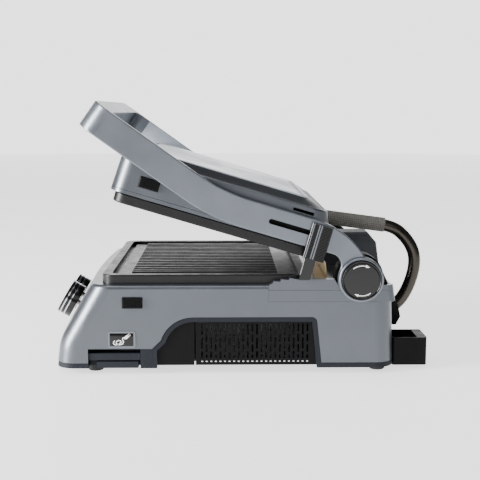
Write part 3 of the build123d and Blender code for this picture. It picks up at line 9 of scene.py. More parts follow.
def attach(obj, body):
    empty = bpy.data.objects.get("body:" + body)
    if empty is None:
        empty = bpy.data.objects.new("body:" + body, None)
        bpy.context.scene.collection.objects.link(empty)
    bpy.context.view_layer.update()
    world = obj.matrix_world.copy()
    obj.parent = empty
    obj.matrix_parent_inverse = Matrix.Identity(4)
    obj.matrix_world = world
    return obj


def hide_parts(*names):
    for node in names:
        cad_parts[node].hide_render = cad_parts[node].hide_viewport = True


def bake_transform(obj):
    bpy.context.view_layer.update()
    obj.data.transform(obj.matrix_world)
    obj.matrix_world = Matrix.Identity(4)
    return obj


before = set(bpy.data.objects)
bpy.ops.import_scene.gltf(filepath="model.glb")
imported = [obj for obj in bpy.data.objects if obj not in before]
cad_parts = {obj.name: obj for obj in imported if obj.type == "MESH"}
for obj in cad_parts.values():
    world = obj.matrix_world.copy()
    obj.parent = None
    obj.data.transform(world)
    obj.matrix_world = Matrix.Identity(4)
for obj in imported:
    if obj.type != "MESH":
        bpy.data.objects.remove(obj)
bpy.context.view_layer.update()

bl_info = {
    "name": "Panini press finisher",
    "version": (1, 0, 0),
    "blender": (4, 5, 0),
    "location": "View3D > Sidebar > Press",
    "description": "Dresses the panini press: finishes on its frame, and the fine pieces on it",
    "category": "Object",
}

# The press's own places, in metres, from its frame; the dials' are in mm.
MM = 0.001
REST = math.radians(16.5)
HINGE = Vector((0.0, 0.1357, 0.1085))
HALF_WIDTH = 0.1575
LID_TURN = Matrix.Translation(HINGE) @ Matrix.Rotation(-REST, 4, "X") @ Matrix.Translation(-HINGE)
FRONT_Y = HINGE.y + 0.041 - 0.386
SLOPE = math.radians(60.0)
DIAL_X = 24.5
DIAL_UP = 21.5
DIAL_R = 21.3
DIAL_FOOT = 3.0
DIAL_GROOVE = 1.3
CONDUIT_X = 0.060
# Sockets of a mix node whose data type is a colour.
MIX_A, MIX_B, MIX_OUT = 6, 7, 2


def on_front(x, up, out):
    """A point on the sloping front, up the slope from the knee and out from it, in mm."""
    y = FRONT_Y + 0.004 + (up * math.cos(SLOPE) - out * math.sin(SLOPE)) * MM
    z = 0.037 + (up * math.sin(SLOPE) + out * math.cos(SLOPE)) * MM
    return Vector((x * MM, y, z))


def linear(code, alpha=1.0):
    """A colour given as sRGB hex, as Blender's linear numbers."""
    parts = [int(code[i:i + 2], 16) / 255 for i in (1, 3, 5)]
    return tuple(p / 12.92 if p <= 0.04045 else ((p + 0.055) / 1.055) ** 2.4 for p in parts) + (alpha,)


def add(tree, kind, values=None, **settings):
    """One node, with its settings, its values, and links from the sockets among its values."""
    node = tree.nodes.new(kind)
    for key, value in settings.items():
        setattr(node, key, value)
    for key, value in (values or {}).items():
        if isinstance(value, bpy.types.NodeSocket):
            tree.links.new(value, node.inputs[key])
        else:
            node.inputs[key].default_value = value
    return node


# ---------------------------------------------------------------- finishes

def placed(tree, stretch=(1, 1, 1), turn=0.0):
    """Object coordinates, turned with the lid's rest angle where a grain follows it, and stretched."""
    coords = add(tree, "ShaderNodeTexCoord").outputs["Object"]
    turned = add(tree, "ShaderNodeMapping", {"Vector": coords, "Rotation": (turn, 0, 0)})
    return add(tree, "ShaderNodeMapping", {"Vector": turned.outputs[0], "Scale": stretch}).outputs[0]


def between(tree, factor, low, high):
    """A number that runs from low to high as factor runs from 0.3 to 0.7, where noise mostly lies."""
    return add(tree, "ShaderNodeMapRange", {0: factor, 1: 0.3, 2: 0.7, 3: low, 4: high}).outputs[0]


def finish(name, tones, rough, grain_mm, grain_deep_mm, tone_mm, stretch=(1, 1, 1), turn=0.0, **sockets):
    """A material whose tone, gloss and fine surface vary, from two tones, two roughnesses and a grain."""
    material = bpy.data.materials.new(name)
    material.use_nodes = True
    tree = material.node_tree
    shader = tree.nodes["Principled BSDF"]
    for key, value in sockets.items():
        shader.inputs[key.replace("_", " ")].default_value = value
    place = placed(tree, stretch, turn)
    broad = add(tree, "ShaderNodeTexNoise", {"Vector": placed(tree), "Scale": 1000 / tone_mm, "Detail": 3.0})
    fine = add(tree, "ShaderNodeTexNoise", {"Vector": place, "Scale": 1000 / grain_mm, "Detail": 2.0})
    blend = add(tree, "ShaderNodeMath", {0: broad.outputs[0], 1: fine.outputs[0]}, operation="ADD")
    share = add(tree, "ShaderNodeMath", {0: blend.outputs[0], 1: 0.5}, operation="MULTIPLY").outputs[0]
    mix = add(tree, "ShaderNodeMix", {0: between(tree, share, 0, 1)}, data_type="RGBA")
    mix.inputs[MIX_A].default_value = linear(tones[0])
    mix.inputs[MIX_B].default_value = linear(tones[1])
    tree.links.new(mix.outputs[MIX_OUT], shader.inputs["Base Color"])
    tree.links.new(between(tree, broad.outputs[0], *rough), shader.inputs["Roughness"])
    relief = {"Strength": 0.6, "Distance": grain_deep_mm * MM, "Height": fine.outputs[0]}
    bump = add(tree, "ShaderNodeBump", relief)
    tree.links.new(bump.outputs[0], shader.inputs["Normal"])
    return material, tree, shader, mix


def darker_where(tree, shader, mix, mask, code, share=1.0):
    """Lays a second tone over the finish where mask is 1."""
    scaled = add(tree, "ShaderNodeMath", {0: mask, 1: share}, operation="MULTIPLY").outputs[0]
    tones = {0: scaled, MIX_A: mix.outputs[MIX_OUT], MIX_B: linear(code)}
    over = add(tree, "ShaderNodeMix", tones, data_type="RGBA")
    tree.links.new(over.outputs[MIX_OUT], shader.inputs["Base Color"])


def make_finishes(colours):
    """Every material of the press, by its short name."""
    made = {}
    # Satin metallic lacquer, sprayed on die-cast housing panels: a grey body with a fine flake
    # and a broad soft highlight.
    made["lacquer"] = finish(
        "satin_metallic_lacquer", (colours.lacquer, "#5c6066"), (0.30, 0.38), 0.5, 0.006, 30.0,
        Metallic=0.75, Coat_Weight=0.25, Coat_Roughness=0.25,
    )[0]
    # Cast aluminium arms, bead blasted and lacquered: paler than the housing.
    made["arms"] = finish(
        "blasted_aluminium_arms", (colours.arms, "#757a81"), (0.28, 0.36), 0.4, 0.008, 25.0, Metallic=0.8,
    )[0]
    # Brushed stainless sheet on the lid: hair lines from side to side, drawn 0.5 mm apart so that they show.
    made["brushed"] = finish(
        "brushed_stainless_cover", (colours.cover, "#9ea2a9"), (0.24, 0.36), 0.5, 0.010, 40.0,
        stretch=(0.02, 1, 1), turn=REST, Metallic=0.9, Anisotropic=0.5,
    )[0]
    # Charcoal ABS, moulded with a satin skin: the lid's sloping band.
    made["band"] = finish(
        "satin_charcoal_abs", (colours.band, "#2a2d31"), (0.34, 0.46), 0.35, 0.010, 20.0, IOR=1.53,
        Specular_IOR_Level=0.25,
    )[0]
    # Blue-grey glass-filled nylon, moulded with a fine spark texture: base frame and cord stores.
    made["base"] = finish(
        "spark_textured_nylon", (colours.base, "#1f2228"), (0.48, 0.62), 0.45, 0.03, 16.0, IOR=1.53,
        Specular_IOR_Level=0.15,
    )[0]
    # The same nylon in a greyer colour: the tower at the rear.
    made["tower"] = finish(
        "grey_textured_nylon", ("#33363a", "#3d4044"), (0.48, 0.62), 0.45, 0.03, 16.0, IOR=1.53,
        Specular_IOR_Level=0.25,
    )[0]
    # Black ABS, moulded with a fine grain: grilles, brackets, buttons, socket and cup.
    made["black"] = finish(
        "grained_black_abs", ("#060607", "#0a0a0b"), (0.38, 0.52), 0.4, 0.020, 14.0, IOR=1.53,
        Specular_IOR_Level=0.1,
    )[0]
    # Black ABS, moulded in a polished tool: dials, hub buttons and slider, with sharp highlights.
    made["gloss"] = finish(
        "polished_black_abs", ("#070708", "#0b0b0c"), (0.10, 0.18), 1.6, 0.003, 20.0, IOR=1.53,
        Specular_IOR_Level=0.35,
    )[0]
    # Chromed trim, polished: bright, with faint wipe marks.
    made["chrome"] = finish(
        "polished_chrome_trim", ("#c9cdd2", "#dadde1"), (0.10, 0.20), 0.6, 0.003, 10.0, Metallic=1.0,
    )[0]
    # PTFE non-stick, sprayed on cast aluminium: near black with a fine pale speckle and an orange-peel skin.
    plate, tree, shader, mix = finish(
        "ptfe_on_cast_aluminium", ("#0b0b0c", "#111112"), (0.30, 0.42), 0.9, 0.006, 12.0, IOR=1.38,
    )
    speck = add(tree, "ShaderNodeTexVoronoi", {"Vector": placed(tree), "Scale": 1000 / 1.6})
    near = {0: speck.outputs["Distance"], 1: 0.16, 2: 0.08, 3: 0.0, 4: 1.0}
    dots = add(tree, "ShaderNodeMapRange", near).outputs[0]
    darker_where(tree, shader, mix, dots, "#4c4c4f", 0.4)
    made["non_stick"] = plate
    # Drawn stainless tube and bent sheet, bright rolled, a little warm from the heat.
    made["steel"] = finish(
        "bright_rolled_stainless", ("#86817b", "#a5a19b"), (0.18, 0.30), 0.8, 0.006, 18.0, Metallic=1.0,
    )[0]
    # Hard-drawn spring wire, oiled.
    made["wire"] = finish(
        "oiled_spring_wire", ("#7c7d80", "#95969a"), (0.22, 0.34), 0.6, 0.006, 5.0, Metallic=1.0,
    )[0]
    # Zinc-plated sheet, yellow passivated: a pale gold behind the hinge.
    made["zinc"] = finish(
        "yellow_passivated_zinc", ("#a9926b", "#c3ae86"), (0.30, 0.44), 1.0, 0.006, 7.0, Metallic=0.85,
    )[0]
    # Moulded rubber feet and bush, matt with dust in the skin.
    made["rubber"] = finish(
        "moulded_epdm_rubber", ("#161617", "#222223"), (0.62, 0.82), 0.6, 0.03, 6.0, IOR=1.52,
    )[0]
    # Steatite, pressed and fired: chalky off white.
    made["ceramic"] = finish(
        "fired_steatite", ("#d6d0c4", "#e6e1d6"), (0.55, 0.75), 0.5, 0.02, 5.0, IOR=1.58,
    )[0]
    # Tinted polycarbonate lenses, moulded clear red.
    made["lamp"] = finish(
        "red_polycarbonate_lens", ("#8d1712", "#a81f17"), (0.08, 0.16), 1.0, 0.002, 3.0,
        IOR=1.58, Transmission_Weight=0.25,
    )[0]
    # The conduit's tube, cold drawn and dulled: darker than the sheet parts.
    made["tube"] = finish(
        "dulled_stainless_tube", ("#37342f", "#4a4742"), (0.20, 0.32), 0.8, 0.006, 18.0, Metallic=1.0,
    )[0]
    # Powder-coated sheet inside the arms: pale blue grey, with a faint orange peel.
    made["liner"] = finish(
        "powder_coated_liner", ("#aab3bf", "#bac2cd"), (0.34, 0.48), 0.9, 0.03, 15.0, Metallic=0.25,
    )[0]
    # Pad-printed ink on the marks, soft white.
    made["ink"] = finish(
        "white_print_ink", ("#dcdcda", "#efefed"), (0.42, 0.55), 0.4, 0.004, 3.0, IOR=1.5,
    )[0]
    # Silicone-coated glass braid on the conduit's sleeve: a diamond weave of 1.6 mm strands, with painted
    # shade darkening the hollows between them.
    braid, tree, shader, mix = finish(
        "silicone_glass_braid", (colours.sleeve, "#6b6963"), (0.60, 0.78), 0.5, 0.02, 8.0, IOR=1.45,
    )
    uv = add(tree, "ShaderNodeUVMap", uv_map="wrap").outputs[0]
    waves = []
    for lean in (1, -1):
        strands = {0: uv, 1: (12.0, 12.0 * lean, 0)}
        leaned = add(tree, "ShaderNodeVectorMath", strands, operation="DOT_PRODUCT")
        angle = add(tree, "ShaderNodeMath", {0: leaned.outputs["Value"], 1: math.tau}, operation="MULTIPLY")
        waves.append(add(tree, "ShaderNodeMath", {0: angle.outputs[0]}, operation="SINE").outputs[0])
    weave = add(tree, "ShaderNodeMath", {0: waves[0], 1: waves[1]}, operation="MULTIPLY").outputs[0]
    bump = add(tree, "ShaderNodeBump", {"Strength": 0.8, "Distance": 0.0004, "Height": weave})
    tree.links.new(bump.outputs[0], shader.inputs["Normal"])
    # Painted shade: where the weave dips, the sleeve's tone is darkened towards #2b2a27 at a share of 0.6.
    hollow = add(tree, "ShaderNodeMapRange", {0: weave, 1: 0.0, 2: -0.8, 3: 0.0, 4: 1.0}).outputs[0]
    darker_where(tree, shader, mix, hollow, "#2b2a27", 0.6)
    made["braid"] = braid
    # Matt paper-white vinyl, rolled out: the floor.
    floor = finish(
        "lit_white_vinyl", ("#bdbdbd", "#c3c3c3"), (0.55, 0.70), 3.0, 0.01, 120.0, IOR=1.45,
        Emission_Color=linear("#ffffff"), Emission_Strength=1.5,
    )[0]
    made["floor"] = floor
    return made


FINISH_OF = {
    "lacquer": ["housing_shell", "ratchet_rail_right", "side_rail_left", "lid_shell", "lid_rim"],
    "arms": ["handle_frame", "cord_icon_plate", "hub_rings", "slider_stripes"],
    "brushed": ["lid_top_plate"],
    "band": ["lid_band"],
    "base": ["base_frame", "cord_stores"],
    "tower": ["rear_tower"],
    "black": [
        "vent_grille_right", "vent_grille_left", "lower_release_button", "upper_release_button",
        # slot_shield is a black sheet set behind the arm's slot as painted shade, so that the slot reads
        # dark.
        "hinge_bracket_right", "hinge_bracket_left", "tube_socket", "grease_cup", "slot_shield",
    ],
    "gloss": ["knob_left", "knob_right", "press_button_right", "press_button_left", "height_slider"],
    "chrome": ["knob_rings_left", "knob_rings_right"],
    "non_stick": ["lower_grill_plate", "upper_grill_plate"],
    "steel": [
        "base_screws", "lower_heating_element", "lower_reflector", "upper_heating_element", "upper_reflector",
        "thermostats", "lower_latch", "upper_latch", "liner_screws", "slider_keeper", "hinge_axle",
        "conduit_tube", "grease_chute", "lid_pivot_pins",
    ],
    "wire": ["lower_release_spring", "upper_release_spring", "press_spring_right", "press_spring_left"],
    "zinc": ["heat_shield"],
    "rubber": ["rubber_feet", "cord_inlet_bush"],
    "ceramic": ["terminal_block", "lower_element_posts", "upper_element_posts"],
    "lamp": ["indicator_lamps"],
    "liner": ["arm_liner_right", "arm_liner_left"],
    "braid": ["conduit_sleeve"],
}
finishes = {}


# ---------------------------------------------------------------- shaping

def piece_from(name, vertices, faces, finish_name, smooth=40.0):
    """A new piece from its vertices and faces, smooth where faces meet at less than the angle."""
    mesh = bpy.data.meshes.new(name)
    mesh.from_pydata([tuple(v) for v in vertices], [], faces)
    return piece_of(name, mesh, finish_name, smooth)


def piece_of(name, mesh, finish_name, smooth=40.0):
    """A piece from a mesh: its doubles merged, its normals outwards."""
    shape = bmesh.new()
    shape.from_mesh(mesh)
    bmesh.ops.remove_doubles(shape, verts=shape.verts, dist=1e-6)
    bmesh.ops.recalc_face_normals(shape, faces=shape.faces)
    shape.to_mesh(mesh)
    shape.free()
    mesh.name = name
    mesh.materials.clear()
    mesh.materials.append(finishes[finish_name])
    mesh.polygons.foreach_set("use_smooth", [True] * len(mesh.polygons))
    mesh.set_sharp_from_angle(angle=math.radians(smooth))
    piece = bpy.data.objects.new(name, mesh)
    bpy.context.scene.collection.objects.link(piece)
    return piece


def turned(profile, axis_point, axis, count=96):
    """Vertices and faces of a turned shape. Its profile is (radius, along) in mm, closed at radius 0."""
    axis = Vector(axis).normalized()
    side = axis.orthogonal().normalized()
    other = axis.cross(side)
    vertices, faces = [], []
    for k in range(count):
        angle = math.tau * k / count
        out = side * math.cos(angle) + other * math.sin(angle)
        vertices += [axis_point + out * (r * MM) + axis * (a * MM) for r, a in profile]
    n = len(profile)
    for k in range(count):
        here, there = k * n, ((k + 1) % count) * n
        faces += [(here + i, here + i + 1, there + i + 1, there + i) for i in range(n - 1)]
    return vertices, faces


def rounded(points, radius, steps=4):
    """A profile with each inner corner of the line rounded off."""
    line = [points[0]]
    for before, corner, after in zip(points, points[1:], points[2:]):
        b, c, a = Vector(before), Vector(corner), Vector(after)
        cut = min(radius, (b - c).length * 0.45, (a - c).length * 0.45)
        start, end = c + (b - c).normalized() * cut, c + (a - c).normalized() * cut
        for i in range(steps + 1):
            t = i / steps
            line.append(tuple(start * (1 - t) ** 2 + c * 2 * t * (1 - t) + end * t ** 2))
    line.append(points[-1])
    return line


def block(low, high, place=Matrix.Identity(4), round_mm=0.15):
    """A bmesh block with softened edges, its corners in metres, then placed."""
    shape = bmesh.new()
    bmesh.ops.create_cube(shape, size=1.0)
    low, high = Vector(low), Vector(high)
    for v in shape.verts:
        v.co = Vector([low[i] + (v.co[i] + 0.5) * (high[i] - low[i]) for i in range(3)])
    bmesh.ops.bevel(shape, geom=shape.edges[:], offset=round_mm * MM, segments=2, affect="EDGES", profile=0.5)
    bmesh.ops.transform(shape, matrix=place, verts=shape.verts)
    mesh = bpy.data.meshes.new("block")
    shape.to_mesh(mesh)
    shape.free()
    return mesh


def joined(meshes):
    """Several meshes as one."""
    shape = bmesh.new()
    for mesh in meshes:
        shape.from_mesh(mesh)
    whole = bpy.data.meshes.new("joined")
    shape.to_mesh(whole)
    shape.free()
    return whole


def plain_mesh(source):
    """The evaluated shape of an object as a plain mesh."""
    bpy.context.view_layer.update()
    graph = bpy.context.evaluated_depsgraph_get()
    return bpy.data.meshes.new_from_object(source.evaluated_get(graph), depsgraph=graph)


ROW_TREE = "row_of_like_pieces"


def row_tree():
    """Geometry nodes: one shape repeated along a straight row, ending in plain geometry with a finish."""
    tree = bpy.data.node_groups.new(ROW_TREE, "GeometryNodeTree")
    face = tree.interface
    face.new_socket("Geometry", in_out="OUTPUT", socket_type="NodeSocketGeometry")
    for label, kind in (
        ("Shape", "NodeSocketObject"), ("Count", "NodeSocketInt"), ("Start", "NodeSocketVector"),
        ("Step", "NodeSocketVector"), ("Finish", "NodeSocketMaterial"),
    ):
        face.new_socket(label, in_out="INPUT", socket_type=kind)
    given = add(tree, "NodeGroupInput").outputs
    line = add(
        tree, "GeometryNodeMeshLine",
        {"Count": given["Count"], "Start Location": given["Start"], "Offset": given["Step"]}, mode="OFFSET",
    )
    shape = add(tree, "GeometryNodeObjectInfo", {"Object": given["Shape"]})
    row = add(
        tree, "GeometryNodeInstanceOnPoints",
        {"Points": line.outputs[0], "Instance": shape.outputs["Geometry"]},
    )
    real = add(tree, "GeometryNodeRealizeInstances", {0: row.outputs[0]})
    done = add(tree, "GeometryNodeSetMaterial", {"Geometry": real.outputs[0], "Material": given["Finish"]})
    add(tree, "NodeGroupOutput", {"Geometry": done.outputs[0]})
    return tree


def repeated(shape_mesh, finish_name, **values):
    """The mesh that the row tree gives for one shape and its values."""
    tree = bpy.data.node_groups.get(ROW_TREE) or row_tree()
    shape = bpy.data.objects.new("one_shape", shape_mesh)
    carrier = bpy.data.objects.new("carrier", bpy.data.meshes.new("carrier"))
    for thing in (shape, carrier):
        bpy.context.scene.collection.objects.link(thing)
    modifier = carrier.modifiers.new("repeat", "NODES")
    modifier.node_group = tree
    values = {**values, "Shape": shape, "Finish": finishes[finish_name]}
    for item in tree.interface.items_tree:
        if item.in_out == "INPUT":
            modifier[item.identifier] = values[item.name]
    mesh = plain_mesh(carrier)
    for thing in (carrier, shape):
        bpy.data.objects.remove(thing)
    return mesh


def row_of(shape_mesh, finish_name, count, start, step):
    """The mesh of one shape repeated along a straight row."""
    return repeated(shape_mesh, finish_name, Count=count, Start=tuple(start), Step=tuple(step))


def tube_along(name, points, radius_mm, finish_name, bore_mm=None, around=48):
    """A smooth tube along control points, with wrap coordinates: turns round it, and girths along it."""
    curve = bpy.data.curves.new(name, "CURVE")
    curve.dimensions = "3D"
    spline = curve.splines.new("NURBS")
    spline.points.add(len(points) - 1)
    for point, place in zip(spline.points, points):
        point.co = (*place, 1.0)
    spline.order_u = 3
    spline.use_endpoint_u = True
    spline.resolution_u = 12
    guide = bpy.data.objects.new(name, curve)
    bpy.context.scene.collection.objects.link(guide)
    path = [v.co.copy() for v in plain_mesh(guide).vertices]
    bpy.data.objects.remove(guide)
    outline = [radius_mm] if bore_mm is None else [radius_mm, bore_mm]
    vertices, faces, wrap = [], [], []
    along = 0.0
    lengths = [0.0]
    for here, there in zip(path, path[1:]):
        along += (there - here).length
        lengths.append(along)
    for i, place in enumerate(path):
        ahead = path[min(i + 1, len(path) - 1)] - path[max(i - 1, 0)]
        side = Vector((1, 0, 0))
        other = ahead.normalized().cross(side)
        for radius in outline:
            for k in range(around):
                angle = math.tau * k / around
                vertices.append(place + (side * math.cos(angle) + other * math.sin(angle)) * radius * MM)
    ring = around * len(outline)
    for i in range(len(path) - 1):
        for layer in range(len(outline)):
            for k in range(around):
                a, b = layer * around + k, layer * around + (k + 1) % around
                faces.append((i * ring + a, i * ring + b, (i + 1) * ring + b, (i + 1) * ring + a))
                u0, u1 = k / around, (k + 1) / around
                v0, v1 = (lengths[j] / (math.tau * radius_mm * MM) for j in (i, i + 1))
                wrap += [(u0, v0), (u1, v0), (u1, v1), (u0, v1)]
    for end in (0, len(path) - 1):
        if bore_mm is None:
            faces.append(tuple(end * ring + k for k in range(around)))
            wrap += [(0.0, 0.0)] * around
        else:
            for k in range(around):
                a, b = k, (k + 1) % around
                corners = (a, b, around + b, around + a)
                faces.append(tuple(end * ring + corner for corner in corners))
                wrap += [(0.0, 0.0)] * 4
    mesh = bpy.data.meshes.new(name)
    mesh.from_pydata([tuple(v) for v in vertices], [], faces)
    layer = mesh.uv_layers.new(name="wrap")
    for loop, value in enumerate(wrap):
        layer.data[loop].uv = value
    return piece_of(name, mesh, finish_name)


# ---------------------------------------------------------------- what a user may change

class PressSizes(bpy.types.PropertyGroup):
    """Sizes of the fine pieces."""

    rib_pitch: FloatProperty(
        name="Slider rib pitch", description="Between ribs on the slider's grip",
        default=0.0016, unit="LENGTH",
    )
    arrow_radius: FloatProperty(
        name="Arrow radius", description="Of the hub's two turning arrows", default=0.0166, unit="LENGTH",
    )
    cord_line: FloatProperty(
        name="Mark line", description="Width of the line of the cord mark", default=0.0011, unit="LENGTH",
    )
    camera_lens: FloatProperty(name="Lens", description="Focal length, on a 36 mm wide sensor", default=73.3)


class PressColours(bpy.types.PropertyGroup):
    """Main colours, as sRGB hex."""

    lacquer: StringProperty(name="Housing", description="Satin lacquer", default="#52565c")
    arms: StringProperty(name="Arms", description="Upper zone of the arms", default="#6a6f76")
    cover: StringProperty(name="Cover", description="Brushed cover on the lid", default="#91959c")
    band: StringProperty(name="Band", description="Sloping band of the lid", default="#24272b")
    base: StringProperty(name="Base", description="Base frame and cord stores", default="#181b20")
    sleeve: StringProperty(name="Sleeve", description="Braided sleeve of the conduit", default="#5f5d58")


class PRESS_OT_finishes(bpy.types.Operator):
    """Makes the materials and lays them on the frame's own pieces."""

    bl_idname = "press.finishes"
    bl_label = "Finishes"

    def execute(self, context):
        finishes.update(make_finishes(context.scene.press_colours))
        for short, names in FINISH_OF.items():
            for name in names:
                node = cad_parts[name]
                if not node.material_slots:
                    node.data.materials.append(finishes[short])
                for place in node.material_slots:
                    place.material = finishes[short]
        return {"FINISHED"}


class PRESS_OT_conduit(bpy.types.Operator):
    """Steel conduit from its socket up to the lid, and the braided sleeve at its end."""

    bl_idname = "press.conduit"
    bl_label = "Conduit"

    def execute(self, context):
        route = [
            (47.0, 52.5), (59.5, 61.5), (68.5, 74.0), (75.5, 91.0), (79.5, 109.5),
            (77.5, 126.5), (67.0, 143.0), (51.5, 155.6), (33.0, 158.1),
        ]
        points = [Vector((CONDUIT_X, HINGE.y + y * MM, z * MM)) for y, z in route]
        tube = tube_along("steel_conduit", points, 7.3, "tube", bore_mm=6.3)
        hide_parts("conduit_tube")
        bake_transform(tube)
        straight = [(41.3, 156.98), (20.0, 159.86), (-12.0, 164.18), (-43.8, 168.48)]
        ends = [Vector((CONDUIT_X, HINGE.y + y * MM, z * MM)) for y, z in straight]
        sleeve = tube_along("braided_sleeve", ends, 8.6, "braid", bore_mm=7.5)
        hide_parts("conduit_sleeve")
        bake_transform(sleeve)
        return {"FINISHED"}


HUB_FACE_X = 0.165
# Radius and distance out, in mm: a dished face with a raised edge, and the hollow behind it.
HUB_PROFILE = [
    (0.0, 9.2), (19.2, 9.3), (19.8, 8.7), (20.4, 9.6), (21.6, 9.8), (21.6, 4.1), (22.2, 4.1),
    (22.2, 3.1), (8.5, 3.1), (8.5, 7.0), (0.0, 7.0),
]
ARROW_STEPS = 28
ARROW_OUT = (9.22, 9.62)


class PRESS_OT_hub_buttons(bpy.types.Operator):
    """Round hub buttons with a dished face and two turning arrows, one on each side."""

    bl_idname = "press.hub_buttons"
    bl_label = "Hub buttons"

    def execute(self, context):
        radius = context.scene.press_sizes.arrow_radius
        for side, word in ((1, "right"), (-1, "left")):
            face = Vector((side * HUB_FACE_X, HINGE.y, HINGE.z))
            out = Vector((side, 0, 0))
            shape = turned(rounded(HUB_PROFILE, 0.6), face, out)
            cap = piece_from("hub_button_" + word + "_cap", *shape, "gloss", 50.0)
            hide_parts("press_button_" + word)
            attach(cap, "hub_button_" + word)
            vertices, faces = [], []
            for half in (0, math.pi):
                base = len(vertices)
                for i in range(ARROW_STEPS + 1):
                    angle = half + math.radians(126 - 65 * i / ARROW_STEPS)
                    width = 0.0004
                    if i > ARROW_STEPS - 7:
                        width = 0.0014 * (ARROW_STEPS - i) / 6 + 0.00005
                    for r in (radius - width, radius + width):
                        for x in ARROW_OUT:
                            place = Vector((side * x * MM, r * math.cos(angle), r * math.sin(angle)))
                            vertices.append(face + place)
                for i in range(ARROW_STEPS):
                    a, b = base + 4 * i, base + 4 * (i + 1)
                    faces += [
                        (a + 1, a + 3, b + 3, b + 1), (a, a + 1, b + 1, b),
                        (a + 2, b + 2, b + 3, a + 3), (a, b, b + 2, a + 2),
                    ]
                last = base + 4 * ARROW_STEPS
                faces += [(base, base + 2, base + 3, base + 1), (last, last + 1, last + 3, last + 2)]
            arrows = piece_from("hub_arrows_" + word, vertices, faces, "ink", 30.0)
            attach(arrows, "hub_button_" + word)
        return {"FINISHED"}


class PRESS_OT_dials(bpy.types.Operator):
    """Two dials: skirt with two grooves for the rings, rounded edge, raised pointer line."""

    bl_idname = "press.dials"
    bl_label = "Dials"

    def execute(self, context):
        for x, word in ((-DIAL_X, "left"), (DIAL_X, "right")):
            centre = on_front(x, DIAL_UP, 0)
            out = (on_front(x, DIAL_UP, 10) - centre).normalized()
            skirt = [(3.05, DIAL_FOOT), (DIAL_R, DIAL_FOOT)]
            for share in (0.42, 0.72):
                low = 3 + 17 * share
                high = low + DIAL_GROOVE
                skirt += [(DIAL_R, low), (20.35, low), (20.35, high), (DIAL_R, high)]
            skirt += [(DIAL_R, 19.6), (19.3, 19.6), (18.4, 19.1), (0.0, 18.9)]
            edge = [(DIAL_R, 17.9), (DIAL_R, 19.6), (18.9, 19.6), (18.2, 19.1), (0.0, 18.9)]
            profile = [p for p in rounded(skirt, 0.35) if p[1] < 18.0] + rounded(edge, 1.8, 6)
            shape = turned(profile, centre, out, 144)
            body = piece_from("dial_" + word + "_body", *shape, "gloss", 50.0)
            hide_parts("knob_" + word)
            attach(body, "dial_" + word)
            up = (on_front(x, 40, 0) - centre).normalized()
            across = up.cross(out)
            basis = Matrix.Translation(centre) @ Matrix((across, up, out)).transposed().to_4x4()
            line = block((-0.0007, 0.0095, 0.0187), (0.0007, 0.0172, 0.0192), basis, 0.1)
            mark = piece_of("dial_" + word + "_mark", line, "ink")
            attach(mark, "dial_" + word)
        return {"FINISHED"}


class PRESS_OT_cord_mark(bpy.types.Operator):
    """Small plate over the cord store: a black field with a drawing of a cord and its plug."""

    bl_idname = "press.cord_mark"
    bl_label = "Cord mark"

    def execute(self, context):
        y0, z0 = HINGE.y - 0.265, 0.040
        x = HALF_WIDTH + 0.0004
        sheet = block((x, y0 - 0.0132, z0 - 0.0073), (x + 0.00015, y0 + 0.0132, z0 + 0.0073), round_mm=0.05)
        field = piece_of("mark_field", sheet, "gloss")
        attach(field, "base")
        line = context.scene.press_sizes.cord_line * 1000 / 2
        path = [
            (-7.5, -1.0), (-9.8, -3.4), (-7.4, -6.0), (-3.2, -5.2), (0.2, -2.6), (-1.8, -0.4), (-5.2, -1.4),
            (-6.4, -4.2), (-2.8, -6.0), (1.6, -4.8), (2.4, -1.6), (0.6, 0.6), (2.0, 2.6), (4.4, 2.2),
        ]
        flat = [Vector((x + 0.0002, y0 + a * MM, z0 + b * MM)) for a, b in path]
        cord = tube_along("mark_cord", flat, line, "ink", around=10)
        lean = Matrix.Translation((0, y0 + 0.0058, z0 + 0.0030)) @ Matrix.Rotation(math.radians(42), 4, "X")
        plug = joined([
            block((x + 0.0001, low[0], low[1]), (x + 0.0004, high[0], high[1]), lean, 0.1)
            for low, high in (
                ((-0.0020, -0.0016), (0.0020, 0.0016)), ((0.0020, 0.0007), (0.0050, 0.0013)),
                ((0.0020, -0.0013), (0.0050, -0.0007)), ((-0.0034, -0.0007), (-0.0018, 0.0007)),
            )
        ])
        for v in cord.data.vertices:
            v.co.x = x + min(v.co.x - x, 0.00035)
        head = piece_of("mark_plug", plug, "ink")
        for piece in (cord, head):
            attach(piece, "base")
        return {"FINISHED"}


class PRESS_OT_slider_grip(bpy.types.Operator):
    """Fine ribs on the slider's face and the bright strip on its leg."""

    bl_idname = "press.slider_grip"
    bl_label = "Slider grip"

    def execute(self, context):
        pitch = context.scene.press_sizes.rib_pitch
        low, high = 0.1155, 0.1540
        y0 = HINGE.y - 0.0667
        rib = block((0.1712, y0, low), (0.1716, y0 + 0.0046, low + pitch * 0.55), round_mm=0.12)
        count = int((high - low) / pitch)
        ribs = row_of(rib, "black", count, (0, 0, 0), (0, 0, pitch))
        y1 = HINGE.y - 0.0572
        back = block((0.1712, y1, low), (0.1716, y1 + 0.0098, low + pitch * 0.55), round_mm=0.12)
        more = row_of(back, "black", count, (0, 0, 0), (0, 0, pitch))
        both = joined([ribs, more])
        both.transform(LID_TURN)
        grip = piece_of("slider_ribs", both, "black")
        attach(grip, "height_slider")
        strip = block((0.1556, HINGE.y - 0.0659, 0.0945), (0.1628, HINGE.y - 0.0653, 0.1130), round_mm=0.15)
        strip.transform(LID_TURN)
        trim = piece_of("slider_leg_strip", strip, "chrome")
        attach(trim, "height_slider")
        return {"FINISHED"}


